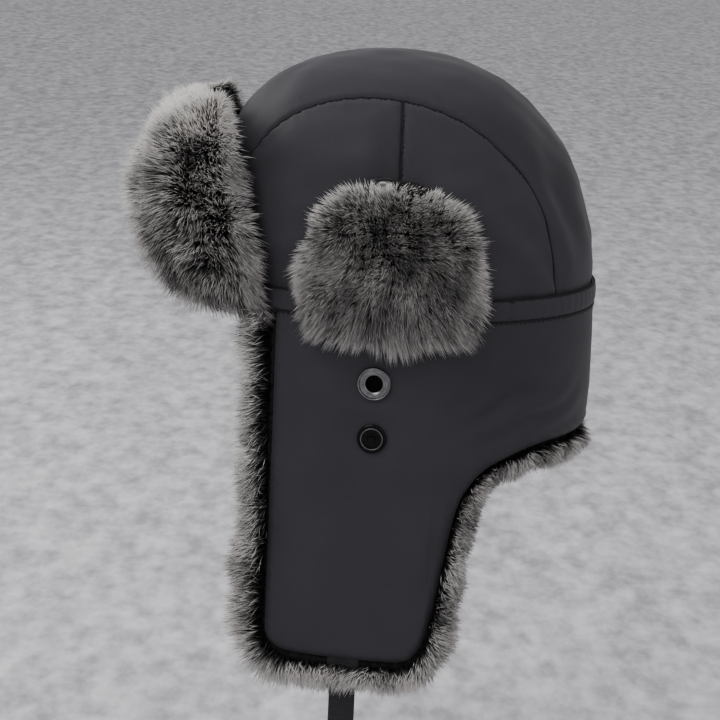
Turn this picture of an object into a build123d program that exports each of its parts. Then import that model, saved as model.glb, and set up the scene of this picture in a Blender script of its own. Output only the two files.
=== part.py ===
"""Winter trapper hat with fur lining, with its visor and ear covers turned up.

Frame: +Z up, -X the wearer's front, -Y the wearer's left. The origin is the middle of the
head opening, level with the bottom of the sewn band round the crown. Millimetres throughout.
Pieces of a pair are made on the wearer's right and mirrored to the left.
"""
from build123d import *
from math import asin, cos, radians, sin, sqrt, tan
import os

os.makedirs("parts", exist_ok=True)

# Crown: ellipses stacked on a rounded profile, leaning forward towards the top.
CROWN_HALF_LENGTH = 109.0
CROWN_HALF_WIDTH = 88.0
CROWN_HEIGHT = 136.0
CROWN_CENTRE_X = -3.0
CROWN_LEAN = 12.0
CROWN_FULLNESS = 2.5
CROWN_LEVELS = 9
CROWN_TOP_ANGLE = 86.0

# Layers, from the outside in.
SHELL_T = 2.0
WADDING_T = 4.5
LINING_T = 1.5
FUR_T = 13.0
FUR_FRONT_FACE = SHELL_T + WADDING_T
FUR_BACK_FACE = FUR_FRONT_FACE + FUR_T

# Band round the bottom of the crown.
BAND_HEIGHT = 11.0
BAND_PROUD = 1.2

# Seams of the crown: the strip over the top is widest in the middle.
STRIP_FRONT = (-125.0, 30.0)
STRIP_MIDDLE = (-10.0, 56.0)
STRIP_REAR = (115.0, 49.0)
SIDE_SEAM_X = -9.0

# Skirt: the wrap round the sides and neck, and the ear flaps below the fold line.
SKIRT_FRONT_X = -76.0
FLAP_REAR_X = 46.0
FOLD_Z = -86.0
FOLD_GAP = 0.3
NECK_Z = -73.0
NECK_START_X = 80.0
FUR_PAST_FRONT = 21.0
FUR_PAST_REAR = 14.0
FUR_PAST_BOTTOM = 14.0
FUR_PAST_NECK = 10.0
FRONT_TANGENT_SLOPE = 0.73

# Ear flap: its plan is a shallow arc on a chord, and its side outline tapers to the bottom.
FLAP_FRONT = (SKIRT_FRONT_X, 65.0)
FLAP_REAR = (FLAP_REAR_X, 79.5)
FLAP_SAG = 10.0
FLAP_BOTTOM_Z = -199.0
FLAP_CORNER_R = 14.0
FLAP_REAR_EDGE = ((38.0, -95.0), (30.5, -113.0), (24.0, -148.0), (15.0, -187.0))
FLAP_HINGE_CLEARANCE = 0.6

# Visor, turned up in front of the crown: ellipses (height, half length, half width).
VISOR_BACK = ((-20.0, 112.8, 89.8), (2.0, 112.8, 89.8), (25.0, 127.0, 89.0), (50.0, 131.5, 87.0),
              (80.0, 126.0, 83.0), (108.0, 113.0, 77.0), (125.0, 104.0, 72.0))
VISOR_FUR_FACE = ((-14.0, 119.0, 96.0), (0.0, 143.0, 101.0), (20.0, 158.0, 106.0),
                  (45.0, 164.0, 107.0), (75.0, 160.0, 103.0), (98.0, 150.0, 96.0),
                  (113.0, 131.0, 84.0))
VISOR_SHELL_T = 1.5
VISOR_WADDING_T = 3.0
VISOR_BASE_Z = 2.0
VISOR_TOP_Z = 108.0
VISOR_HALF_WIDTH = 64.0
VISOR_CORNER_R = 44.0
VISOR_EDGE_BASE_X = -86.0
VISOR_EDGE_TOP_X = -108.0
VISOR_FUR_SPREAD = 9.0
VISOR_HINGE_X = -113.4
VISOR_HINGE_Z = 1.0

# Ear covers, turned up against the crown and leaning on it.
COVER_HINGE_Z = 2.0
COVER_LEAN = 3.2
COVER_CLEARANCE = 1.0
COVER_T = 2.0
COVER_FRONT_X = -54.0
COVER_REAR_X = 31.0
COVER_APEX = (-17.0, 76.0)
COVER_FRONT_SHOULDER = (-43.0, 62.0)
COVER_REAR_SHOULDER = (13.0, 59.0)
COVER_FRONT_SIDE_Z = 30.0
COVER_REAR_SIDE_Z = 24.0
SHOULDER_SPREAD = (0.7, 0.5)
COVER_FUR_T = 17.0
COVER_FUR_SPREAD = 11.0
COVER_FUR_BELOW = 21.0

# Snaps and eyelets, all on one upright line.
HARDWARE_X = -18.0
SNAP_FROM_HINGE = 68.5
EYELET_Z = -35.5
SNAP_R = 7.5
SNAP_BASE_T = 1.2
SNAP_POST_R = 2.6
SNAP_POST_H = 2.4
SNAP_SOCKET_R = 5.5
SNAP_SOCKET_T = 2.6
SNAP_CAP_T = 1.6
WRAP_SNAP_R = 8.2
SNAP_BACK_R = 6.0
SNAP_WAIST_R = 2.1
SNAP_MOUTH_R = 3.0
SNAP_RIM = 0.9
EYELET_R = 9.3
EYELET_HOLE_R = 4.9
EYELET_WALL = 0.9
EYELET_FLANGE_T = 1.4
WASHER_T = 1.0
HARDWARE_FIT = 0.3
CURVE_FIT = 0.15

# Chin straps: flat webbing that hangs from a tab in the bottom seam of each ear flap.
STRAP_ALONG = -13.0
STRAP_INSET = 3.6
STRAP_WIDTH = 15.0
STRAP_T = 1.8
TAB_WIDTH = 18.0
TAB_T = 2.6
TAB_TOP_Z = -184.0
TAB_BOTTOM_Z = -206.0
SOCKET_STRAP_DROPS = ((0.0, 0.0), (0.9, -29.0), (-0.6, -61.0), (0.7, -95.0))
PRONG_STRAP_DROPS = ((0.0, 0.0), (0.9, -28.0), (-0.7, -60.0), (0.8, -92.0), (0.0, -122.0))
BUCKLE_WIDTH = 23.0
BUCKLE_T = 7.0
SOCKET_LENGTH = 28.0
SOCKET_WALL = 1.6
SOCKET_FLOOR = 6.0
PRONG_BASE = 12.0
PRONG_LENGTH = 19.0
PRONG_WIDTH = 4.2
PRONG_T = 3.2
SLIDER_LENGTH = 14.0
SLIDER_WIDTH = 20.0
SLIDER_T = 5.6
SLIDER_FIT = 0.5
SLIDER_DROP = -97.0

REACH = 400.0


def finish(node, label):
    """Label a finished piece and write it under its own name."""
    node.part.label = label
    export_step(node.part, f"parts/{label}.step")


def finish_pair(node, label):
    """Write a piece of the wearer's right, and its mirror image on the left."""
    with BuildPart() as left:
        mirror(node.part, about=Plane.XZ, mode=Mode.ADD)
    finish(node, f"{label}_right")
    finish(left, f"{label}_left")


def finish_group(node, label):
    """Write a fastener of the right and its mirror image as one group."""
    with BuildPart() as group:
        add(node.part)
        mirror(node.part, about=Plane.XZ, mode=Mode.ADD)
    finish(group, label)


def centre_at(z):
    """Middle of the crown's plan at a height: it leans forward towards the top."""
    return CROWN_CENTRE_X - CROWN_LEAN * max(z, 0.0) / CROWN_HEIGHT


def dome(inset):
    """Solid inside the crown's surface less an inset, from the opening's level up."""
    height = CROWN_HEIGHT - inset
    with BuildPart() as body:
        for i in range(CROWN_LEVELS):
            turn = radians(CROWN_TOP_ANGLE * i / (CROWN_LEVELS - 1))
            z = height * sin(turn) ** (2 / CROWN_FULLNESS)
            share = cos(turn) ** (2 / CROWN_FULLNESS)
            with BuildSketch(Plane.XY.offset(z)):
                with Locations((centre_at(z), 0)):
                    Ellipse((CROWN_HALF_LENGTH - inset) * share, (CROWN_HALF_WIDTH - inset) * share)
        loft()
    return body.part


def barrel(levels, grow):
    """Solid lofted through ellipses on the crown's middle line, each made larger by grow."""
    with BuildPart() as body:
        for z, half_length, half_width in levels:
            with BuildSketch(Plane.XY.offset(z)):
                with Locations((CROWN_CENTRE_X, 0)):
                    Ellipse(half_length + grow, half_width + grow)
        loft()
    return body.part


def plan_ring(outer_inset, inner_inset):
    """Plan between two ellipses inset from that of the head opening."""
    with BuildSketch() as plan:
        with Locations((CROWN_CENTRE_X, 0)):
            Ellipse(CROWN_HALF_LENGTH - outer_inset, CROWN_HALF_WIDTH - outer_inset)
            Ellipse(CROWN_HALF_LENGTH - inner_inset, CROWN_HALF_WIDTH - inner_inset,
                    mode=Mode.SUBTRACT)
    return plan.sketch


def ring_y(x, inset):
    """Half-width of the head opening's ellipse, less an inset, at a place along X."""
    along = (x - CROWN_CENTRE_X) / (CROWN_HALF_LENGTH - inset)
    return (CROWN_HALF_WIDTH - inset) * sqrt(1 - along**2)


# --- Lie of the ear covers and their snaps ---------------------------------------------------

cover_inner = BAND_PROUD + COVER_CLEARANCE
cover_outer = cover_inner + COVER_T
hinge_y = CROWN_HALF_WIDTH + cover_outer
lean = radians(COVER_LEAN)
cover_plane = Plane(origin=(0, hinge_y, COVER_HINGE_Z), x_dir=(1, 0, 0), z_dir=(0, -sin(lean), cos(lean)))
cover_front_plane = Plane(origin=cover_plane.origin, x_dir=(1, 0, 0), z_dir=-cover_plane.y_dir)


def cover_point(outset):
    """Centre of the cover's snap on the face at an outset from the head opening's ellipse."""
    return cover_plane.from_local_coords((HARDWARE_X, ring_y(HARDWARE_X, -outset) - hinge_y, SNAP_FROM_HINGE))


across = (HARDWARE_X - CROWN_CENTRE_X) / (CROWN_HALF_LENGTH + cover_inner) ** 2
outwards = ring_y(HARDWARE_X, -cover_inner) / (CROWN_HALF_WIDTH + cover_inner) ** 2
cap_plane = Plane(origin=cover_point(cover_inner - 2.5 * CURVE_FIT), x_dir=cover_plane.z_dir,
                  z_dir=-across * cover_plane.x_dir - outwards * cover_plane.y_dir)
socket_plane = Plane(origin=cover_point(cover_outer + 2 * CURVE_FIT), x_dir=cover_plane.z_dir,
                     z_dir=cover_plane.y_dir)


# --- Crown -------------------------------------------------------------------------------

outer_dome = dome(0)
shell_dome = dome(SHELL_T)
wadding_dome = dome(FUR_FRONT_FACE)
lining_dome = dome(FUR_FRONT_FACE + LINING_T)

with BuildSketch() as centre_strip:
    with BuildLine():
        rim = ThreePointArc(STRIP_FRONT, STRIP_MIDDLE, STRIP_REAR)
        other_rim = mirror(rim, about=Plane.XZ)
        Line(rim @ 0, other_rim @ 0)
        Line(rim @ 1, other_rim @ 1)
    make_face()

with BuildPart() as crown_centre_panel:
    add(outer_dome)
    add(shell_dome, mode=Mode.SUBTRACT)
    with BuildSketch(Plane.XY.offset(BAND_HEIGHT)):
        add(centre_strip.sketch)
    extrude(amount=REACH, mode=Mode.INTERSECT)
finish(crown_centre_panel, "crown_centre_panel")

for end, end_name in ((-1, "front"), (1, "rear")):
    with BuildPart() as crown_side_panel:
        add(outer_dome)
        add(shell_dome, mode=Mode.SUBTRACT)
        with BuildSketch(Plane.XY.offset(BAND_HEIGHT)):
            with Locations((SIDE_SEAM_X + end * REACH / 2, REACH / 2)):
                Rectangle(REACH, REACH)
            add(centre_strip.sketch, mode=Mode.SUBTRACT)
        extrude(amount=REACH, mode=Mode.INTERSECT)
    finish_pair(crown_side_panel, f"crown_side_{end_name}")

with BuildPart() as crown_band:
    with BuildSketch():
        add(plan_ring(-BAND_PROUD, SHELL_T))
    extrude(amount=BAND_HEIGHT)
finish(crown_band, "crown_band")

with BuildPart() as crown_wadding:
    add(shell_dome)
    add(wadding_dome, mode=Mode.SUBTRACT)
finish(crown_wadding, "crown_wadding")

with BuildPart() as crown_lining:
    add(wadding_dome)
    add(lining_dome, mode=Mode.SUBTRACT)
finish(crown_lining, "crown_lining")


# --- Wrap: sides and neck, from the band down to the fold line -----------------------------


def wall(plan, outline, low_z, high_z):
    """Upright wall on a plan, cut to an outline seen from the side."""
    with BuildPart() as body:
        with BuildSketch(Plane.XY.offset(low_z)):
            add(plan)
        extrude(amount=high_z - low_z)
        with BuildSketch(Plane.XZ):
            add(outline)
        extrude(amount=REACH, both=True, mode=Mode.INTERSECT)
    return body.part


def wrap_plan(outer_inset, inner_inset, past_front):
    """Right half of the wrap's plan, carried straight on past its front edge."""
    drop = FRONT_TANGENT_SLOPE * past_front
    outer_y = ring_y(SKIRT_FRONT_X, outer_inset)
    inner_y = ring_y(SKIRT_FRONT_X, inner_inset)
    with BuildSketch() as plan:
        add(plan_ring(outer_inset, inner_inset))
        with Locations((SKIRT_FRONT_X + REACH / 2, REACH / 2)):
            Rectangle(REACH, REACH, mode=Mode.INTERSECT)
        if past_front:
            Polygon((SKIRT_FRONT_X, outer_y), (SKIRT_FRONT_X, inner_y),
                    (SKIRT_FRONT_X - past_front, inner_y - drop),
                    (SKIRT_FRONT_X - past_front, outer_y - drop), align=None)
    return plan.sketch


def wrap_outline(past_front, past_rear, past_neck):
    """Side outline of the wrap: level at the fold, stepping up to the neck's edge."""
    front_x = SKIRT_FRONT_X - past_front
    with BuildSketch() as outline:
        with BuildLine():
            Polyline((front_x, 0), (front_x, FOLD_Z), (FLAP_REAR_X + past_rear, FOLD_Z),
                     (NECK_START_X, NECK_Z - past_neck), (REACH, NECK_Z - past_neck), (REACH, 0),
                     close=True)
        make_face()
    return outline.sketch


def upright_plane(y, z):
    """Plane on the wrap's outer face at the line of the hardware, facing outwards."""
    across = (HARDWARE_X - CROWN_CENTRE_X) / CROWN_HALF_LENGTH**2
    return Plane(origin=(HARDWARE_X, y, z), x_dir=(0, 0, 1), z_dir=(across, y / CROWN_HALF_WIDTH**2, 0))


wrap_y = ring_y(HARDWARE_X, 0)
eyelet_plane = upright_plane(wrap_y, EYELET_Z)
wrap_snap_plane = upright_plane(wrap_y, COVER_HINGE_Z - SNAP_FROM_HINGE)

with BuildPart() as wrap_shell:
    add(wall(wrap_plan(0, SHELL_T, 0), wrap_outline(0, 0, 0), FOLD_Z, 0))
    with Locations(eyelet_plane):
        Cylinder(EYELET_HOLE_R + EYELET_WALL, 4 * SHELL_T, mode=Mode.SUBTRACT)
    with Locations(wrap_snap_plane):
        Cylinder(SNAP_POST_R, 4 * SHELL_T, mode=Mode.SUBTRACT)
finish_pair(wrap_shell, "wrap_shell")

with BuildPart() as wrap_wadding:
    add(wall(wrap_plan(SHELL_T, FUR_FRONT_FACE, 0), wrap_outline(0, 0, 0), FOLD_Z, 0))
    with BuildSketch(Plane.XZ):
        with Locations((HARDWARE_X, EYELET_Z)):
            Circle(EYELET_R + 2 * HARDWARE_FIT)
        with Locations((HARDWARE_X, COVER_HINGE_Z - SNAP_FROM_HINGE)):
            Circle(SNAP_BACK_R + 2 * HARDWARE_FIT)
    extrude(amount=-REACH, mode=Mode.SUBTRACT)
finish_pair(wrap_wadding, "wrap_wadding")

with BuildPart() as wrap_fur:
    add(wall(wrap_plan(FUR_FRONT_FACE, FUR_BACK_FACE, FUR_PAST_FRONT),
             wrap_outline(FUR_PAST_FRONT, FUR_PAST_REAR, FUR_PAST_NECK), FOLD_Z, 0))
finish_pair(wrap_fur, "wrap_fur")


# --- Ear flaps, below the fold line --------------------------------------------------------

chord_x = FLAP_REAR[0] - FLAP_FRONT[0]
chord_y = FLAP_REAR[1] - FLAP_FRONT[1]
chord = sqrt(chord_x**2 + chord_y**2)
flap_u = (chord_x / chord, chord_y / chord)
flap_n = (-flap_u[1], flap_u[0])
flap_radius = ((chord / 2) ** 2 + FLAP_SAG**2) / (2 * FLAP_SAG)
flap_middle = ((FLAP_FRONT[0] + FLAP_REAR[0]) / 2 + FLAP_SAG * flap_n[0],
               (FLAP_FRONT[1] + FLAP_REAR[1]) / 2 + FLAP_SAG * flap_n[1])
half_arc = flap_radius * asin(chord / 2 / flap_radius)


def flap_point(along, inset):
    """Point of the flap's plan at an arc length from its middle, inset from its outer face."""
    turn = along / flap_radius
    out = (flap_radius - inset) * cos(turn) - flap_radius
    across = (flap_radius - inset) * sin(turn)
    return (flap_middle[0] + across * flap_u[0] + out * flap_n[0],
            flap_middle[1] + across * flap_u[1] + out * flap_n[1])


def flap_plan(outer_inset, inner_inset, past_front, past_rear):
    """Plan of one layer of the flap between two arcs."""
    start = -half_arc - past_front
    stop = half_arc + past_rear
    with BuildSketch() as plan:
        with BuildLine():
            outer = ThreePointArc(flap_point(start, outer_inset), flap_point(0, outer_inset),
                                  flap_point(stop, outer_inset))
            inner = ThreePointArc(flap_point(start, inner_inset), flap_point(0, inner_inset),
                                  flap_point(stop, inner_inset))
            Line(outer @ 0, inner @ 0)
            Line(outer @ 1, inner @ 1)
        make_face()
    return plan.sketch


def flap_outline(past_front, past_rear, past_bottom):
    """Side outline of the flap: upright in front, tapering up to the neck behind."""
    front_x = SKIRT_FRONT_X - past_front
    bottom_z = FLAP_BOTTOM_Z - past_bottom
    top_z = FOLD_Z - FOLD_GAP
    rear = [(x + past_rear, z - past_bottom * k / len(FLAP_REAR_EDGE))
            for k, (x, z) in enumerate(FLAP_REAR_EDGE)]
    corner = (rear[-1][0] - FLAP_CORNER_R, bottom_z)
    with BuildSketch() as outline:
        with BuildLine():
            Polyline((FLAP_REAR_X + past_rear, top_z), (front_x, top_z), (front_x, bottom_z), corner)
            Line(corner, rear[-1])
            Spline([rear[-1], *rear[-2::-1], (FLAP_REAR_X + past_rear, top_z)])
        make_face()
        fillet(outline.vertices().sort_by_distance((front_x, bottom_z))[0],
               FLAP_CORNER_R + past_bottom / 2)
    return outline.sketch


def flap_wall(outer_inset, inner_inset, past_front, past_rear, past_bottom):
    """One layer of the flap; its plan runs on and the side outline trims it."""
    spare = 4.0
    return wall(flap_plan(outer_inset, inner_inset, past_front + spare, past_rear + spare),
                flap_outline(past_front, past_rear, past_bottom),
                FLAP_BOTTOM_Z - past_bottom, FOLD_Z)


root_x, root_y = flap_point(STRAP_ALONG, STRAP_INSET)
root_turn = STRAP_ALONG / flap_radius
strap_out = (flap_n[0] * cos(root_turn) + flap_u[0] * sin(root_turn),
             flap_n[1] * cos(root_turn) + flap_u[1] * sin(root_turn), 0)
strap_side = (strap_out[1], -strap_out[0], 0)


def strap_plane(z):
    """Level plane on the strap's middle line, with X across its width and Z downwards."""
    return Plane(origin=(root_x, root_y, z), x_dir=strap_side, z_dir=(0, 0, -1))


with BuildPart() as ear_flap_shell:
    add(flap_wall(0, SHELL_T, 0, 0, 0))
finish_pair(ear_flap_shell, "ear_flap_shell")

with BuildPart() as ear_flap_wadding:
    add(flap_wall(SHELL_T, FUR_FRONT_FACE, 0, 0, 0))
    with BuildSketch(strap_plane(TAB_TOP_Z)):
        Rectangle(TAB_WIDTH + 2 * HARDWARE_FIT, TAB_T + 2 * HARDWARE_FIT)
    extrude(amount=TAB_TOP_Z - TAB_BOTTOM_Z, mode=Mode.SUBTRACT)
finish_pair(ear_flap_wadding, "ear_flap_wadding")

with BuildPart() as ear_flap_fur:
    add(flap_wall(FUR_FRONT_FACE, FUR_BACK_FACE, FUR_PAST_FRONT, FUR_PAST_REAR, FUR_PAST_BOTTOM))
finish_pair(ear_flap_fur, "ear_flap_fur")


# --- Visor ---------------------------------------------------------------------------------


def visor_layer(outer, inner, spread, low_z, high_z):
    """Shell between two barrels, cut to the visor's front and side outlines plus a spread."""
    with BuildPart() as layer:
        add(outer)
        add(inner, mode=Mode.SUBTRACT)
        with BuildSketch(Plane.XZ):
            with BuildLine():
                Polyline((-REACH, low_z), (VISOR_EDGE_BASE_X + spread, low_z),
                         (VISOR_EDGE_TOP_X + spread, high_z), (-REACH, high_z), close=True)
            make_face()
        extrude(amount=REACH, both=True, mode=Mode.INTERSECT)
        with BuildSketch(Plane.YZ):
            with Locations((0, (low_z + high_z) / 2)):
                Rectangle(2 * (VISOR_HALF_WIDTH + spread), high_z - low_z)
            fillet(vertices().group_by(Axis.Y)[-1], VISOR_CORNER_R + spread)
        extrude(amount=REACH, both=True, mode=Mode.INTERSECT)
    return layer


visor_back = barrel(VISOR_BACK, 0)
visor_middle = barrel(VISOR_BACK, VISOR_SHELL_T)
visor_front = barrel(VISOR_BACK, VISOR_SHELL_T + VISOR_WADDING_T)
finish(visor_layer(visor_middle, visor_back, 0, VISOR_BASE_Z, VISOR_TOP_Z), "visor_shell")
finish(visor_layer(visor_front, visor_middle, 0, VISOR_BASE_Z, VISOR_TOP_Z), "visor_wadding")
finish(visor_layer(barrel(VISOR_FUR_FACE, 0), visor_front, VISOR_FUR_SPREAD,
                   VISOR_FUR_FACE[0][0], VISOR_FUR_FACE[-1][0]), "visor_fur")


# --- Ear covers ------------------------------------------------------------------------------

def cover_outline(spread, below):
    """Outline of the cover seen from the side: flat at the hinge, domed at the top."""
    front_side = (COVER_FRONT_X - spread, COVER_FRONT_SIDE_Z)
    rear_side = (COVER_REAR_X + spread, COVER_REAR_SIDE_Z)
    outward, upward = (share * spread for share in SHOULDER_SPREAD)
    with BuildSketch() as outline:
        with BuildLine():
            Polyline(front_side, (front_side[0], -below), (rear_side[0], -below), rear_side)
            ThreePointArc(rear_side, (COVER_REAR_SHOULDER[0] + outward, COVER_REAR_SHOULDER[1] + upward),
                          COVER_APEX)
            ThreePointArc(COVER_APEX, (COVER_FRONT_SHOULDER[0] - outward, COVER_FRONT_SHOULDER[1] + upward),
                          front_side)
        make_face()
    return outline.sketch


def cover_wall(inner, outer, spread, below):
    """Curved plate between two outsets of the head opening's ellipse, cut to the outline."""
    with BuildPart() as body:
        with BuildSketch(cover_plane.offset(-below)):
            with Locations((CROWN_CENTRE_X, -hinge_y)):
                Ellipse(CROWN_HALF_LENGTH + outer, CROWN_HALF_WIDTH + outer)
                Ellipse(CROWN_HALF_LENGTH + inner, CROWN_HALF_WIDTH + inner, mode=Mode.SUBTRACT)
        extrude(amount=REACH)
        with BuildSketch(cover_front_plane):
            add(cover_outline(spread, below))
        extrude(amount=hinge_y / 2, both=True, mode=Mode.INTERSECT)
    return body.part


with BuildPart() as ear_cover_shell:
    add(cover_wall(cover_inner, cover_outer, 0, 0))
    with BuildSketch(socket_plane):
        Circle(SNAP_SOCKET_R)
    extrude(amount=COVER_T, mode=Mode.SUBTRACT)
finish_pair(ear_cover_shell, "ear_cover_shell")

with BuildPart() as ear_cover_fur:
    add(cover_wall(cover_outer, cover_outer + COVER_FUR_T, COVER_FUR_SPREAD, COVER_FUR_BELOW))
    with Locations(socket_plane):
        Cylinder(SNAP_SOCKET_R + HARDWARE_FIT, 4 * COVER_FUR_T, mode=Mode.SUBTRACT)
finish_pair(ear_cover_fur, "ear_cover_fur")


# --- Snaps and eyelets ---------------------------------------------------------------------


def turned(points):
    """Solid turned from a half profile of (radius, height) points."""
    with BuildPart() as body:
        with BuildSketch(Plane.XZ):
            with BuildLine():
                Polyline(*points, close=True)
            make_face()
        revolve(axis=Axis.Z)
    return body.part


def stud(radius):
    """Stud half of a snap: a dished base with a rim, and a waisted post."""
    tip = SNAP_BASE_T + SNAP_POST_H
    return turned([(0, 0), (radius, 0), (radius, SNAP_RIM), (radius - 0.6, SNAP_BASE_T),
                   (radius - 2, SNAP_RIM), (SNAP_POST_R + 1.4, 0.7), (SNAP_WAIST_R, SNAP_BASE_T),
                   (SNAP_WAIST_R, tip - 1.2), (SNAP_POST_R - 0.2, tip - 0.7), (SNAP_WAIST_R, tip), (0, tip)])


snap_socket = turned([(SNAP_MOUTH_R, 0), (SNAP_SOCKET_R, 0), (SNAP_SOCKET_R, SNAP_SOCKET_T - 1),
                      (SNAP_SOCKET_R - 0.8, SNAP_SOCKET_T), (SNAP_MOUTH_R + 0.5, SNAP_SOCKET_T),
                      (SNAP_MOUTH_R, SNAP_SOCKET_T - 0.6)])
snap_cap = turned([(0, 0), (SNAP_R, 0), (SNAP_R, 0.8), (SNAP_R - 0.8, SNAP_CAP_T - 0.2),
                   (SNAP_R - 3, SNAP_CAP_T), (0, SNAP_CAP_T)])
snap_back = turned([(0, -SHELL_T - CURVE_FIT), (SNAP_BACK_R, -SHELL_T - CURVE_FIT),
                    (SNAP_BACK_R, -SHELL_T - SNAP_RIM), (0, -SHELL_T - SNAP_RIM - 0.2)])

with BuildPart() as ear_cover_snap_socket:
    with Locations(socket_plane):
        add(snap_socket)
finish_pair(ear_cover_snap_socket, "ear_cover_snap_socket")

with BuildPart() as ear_cover_snap_cap:
    with Locations(cap_plane):
        add(snap_cap)
finish_pair(ear_cover_snap_cap, "ear_cover_snap_cap")

with BuildPart() as wrap_snap_stud:
    with Locations(wrap_snap_plane):
        add(stud(WRAP_SNAP_R))
finish_group(wrap_snap_stud, "wrap_snap_studs")

with BuildPart() as wrap_snap_back:
    with Locations(wrap_snap_plane):
        add(snap_back)
finish_group(wrap_snap_back, "wrap_snap_backs")

barrel_end = -SHELL_T - WASHER_T - 3 * CURVE_FIT
with BuildPart() as eyelet_ring:
    with BuildSketch(Plane.XZ):
        with BuildLine():
            Polyline((EYELET_HOLE_R, EYELET_FLANGE_T / 2), (EYELET_HOLE_R, barrel_end),
                     (EYELET_HOLE_R + EYELET_WALL, barrel_end), (EYELET_HOLE_R + EYELET_WALL, 0),
                     (EYELET_R, 0))
            ThreePointArc((EYELET_R, 0), ((EYELET_R + EYELET_HOLE_R) / 2, EYELET_FLANGE_T),
                          (EYELET_HOLE_R, EYELET_FLANGE_T / 2))
        make_face()
    revolve(axis=Axis.Z)

with BuildPart() as ear_eyelet:
    with Locations(eyelet_plane):
        add(eyelet_ring.part)
finish_group(ear_eyelet, "ear_eyelets")

with BuildPart() as eyelet_washer:
    with Locations(eyelet_plane.offset(-SHELL_T - WASHER_T / 2 - 2 * CURVE_FIT)):
        Cylinder(EYELET_R, WASHER_T)
        Cylinder(EYELET_HOLE_R + EYELET_WALL, WASHER_T, mode=Mode.SUBTRACT)
finish_group(eyelet_washer, "eyelet_washers")


# --- Chin straps ---------------------------------------------------------------------------

with BuildPart() as strap_tab:
    with BuildSketch(strap_plane(TAB_TOP_Z)):
        Rectangle(TAB_WIDTH, TAB_T)
    extrude(amount=TAB_TOP_Z - TAB_BOTTOM_Z)
    fillet(edges().filter_by(Axis.Z), 0.8)
finish_pair(strap_tab, "strap_tab")


def webbing(drops):
    """Flat strap swept down a route of (outward, height) drops from the tab's lower end."""
    runs = [Vector(*b) - Vector(*a) for a, b in zip(drops, drops[1:])]
    turns = [radians(a.get_angle(b)) for a, b in zip(runs, runs[1:])]
    radii = [0.45 * min(a.length, b.length) / tan(turn / 2)
             for a, b, turn in zip(runs, runs[1:], turns)]
    print("strap arc radii", [round(r) for r in radii])
    side = Plane(origin=(root_x, root_y, TAB_BOTTOM_Z), x_dir=strap_out, z_dir=strap_side)
    with BuildPart() as body:
        with BuildLine(side):
            route = FilletPolyline(*drops, radius=radii)
        with BuildSketch(Plane(origin=route @ 0, x_dir=strap_side, z_dir=route % 0)):
            Rectangle(STRAP_WIDTH, STRAP_T)
        sweep()
    print("strap length", round(route.length, 1), "volume", round(body.part.volume),
          "section by length", round(route.length * STRAP_WIDTH * STRAP_T))
    return body


def hang_plane(drops, z):
    """Level plane at a drop below the tab, centred on the strap there."""
    (out_a, z_a), (out_b, z_b) = next(pair for pair in zip(drops, drops[1:]) if pair[1][1] <= z)
    out = out_a + (out_b - out_a) * (z - z_a) / (z_b - z_a)
    return Plane(origin=(root_x + out * strap_out[0], root_y + out * strap_out[1], TAB_BOTTOM_Z + z),
                 x_dir=strap_side, z_dir=(0, 0, -1))


def sleeve(plane, width, thick, length, corner):
    """Rounded bar of the strap's outline, hanging down from a plane."""
    with BuildPart() as body:
        with BuildSketch(plane):
            RectangleRounded(width, thick, corner)
        extrude(amount=length)
    return body.part


socket_strap = webbing(SOCKET_STRAP_DROPS)
with BuildPart() as chin_strap_left:
    mirror(socket_strap.part, about=Plane.XZ, mode=Mode.ADD)
finish(chin_strap_left, "chin_strap_left")
chin_strap_right = webbing(PRONG_STRAP_DROPS)
finish(chin_strap_right, "chin_strap_right")

catch_plane = hang_plane(SOCKET_STRAP_DROPS, SOCKET_STRAP_DROPS[-1][1])
with BuildPart() as socket_body:
    add(sleeve(catch_plane, BUCKLE_WIDTH, BUCKLE_T, SOCKET_LENGTH, 2.4))
    add(sleeve(catch_plane.offset(SOCKET_FLOOR), BUCKLE_WIDTH - 2 * SOCKET_WALL,
               BUCKLE_T - 2 * SOCKET_WALL, SOCKET_LENGTH, 1.2), mode=Mode.SUBTRACT)
    with BuildSketch(Plane(origin=catch_plane.origin, x_dir=strap_side, z_dir=strap_out)):
        for across in (-1, 1):
            with Locations((across * BUCKLE_WIDTH / 2, -SOCKET_FLOOR - 9)):
                RectangleRounded(7, 10, 2)
    extrude(amount=BUCKLE_T, both=True, mode=Mode.SUBTRACT)
with BuildPart() as buckle_socket:
    mirror(socket_body.part, about=Plane.XZ, mode=Mode.ADD)
finish(buckle_socket, "buckle_socket")

prong_plane = hang_plane(PRONG_STRAP_DROPS, PRONG_STRAP_DROPS[-1][1])
with BuildPart() as buckle_prongs:
    add(sleeve(prong_plane, BUCKLE_WIDTH, BUCKLE_T, PRONG_BASE, 2.4))
    with BuildSketch(prong_plane.offset(PRONG_BASE)):
        for across in (-1, 0, 1):
            with Locations((across * (BUCKLE_WIDTH / 2 - SOCKET_WALL - PRONG_WIDTH / 2 - HARDWARE_FIT), 0)):
                RectangleRounded(PRONG_WIDTH, PRONG_T, 1)
    extrude(amount=PRONG_LENGTH)
    with BuildSketch(prong_plane.offset(PRONG_BASE + PRONG_LENGTH / 2)):
        for across in (-1, 1):
            with Locations((across * (BUCKLE_WIDTH / 2 - PRONG_WIDTH / 2), 0)):
                RectangleRounded(PRONG_WIDTH, PRONG_T, 1)
    extrude(amount=PRONG_LENGTH / 2)
finish(buckle_prongs, "buckle_prongs")

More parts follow.
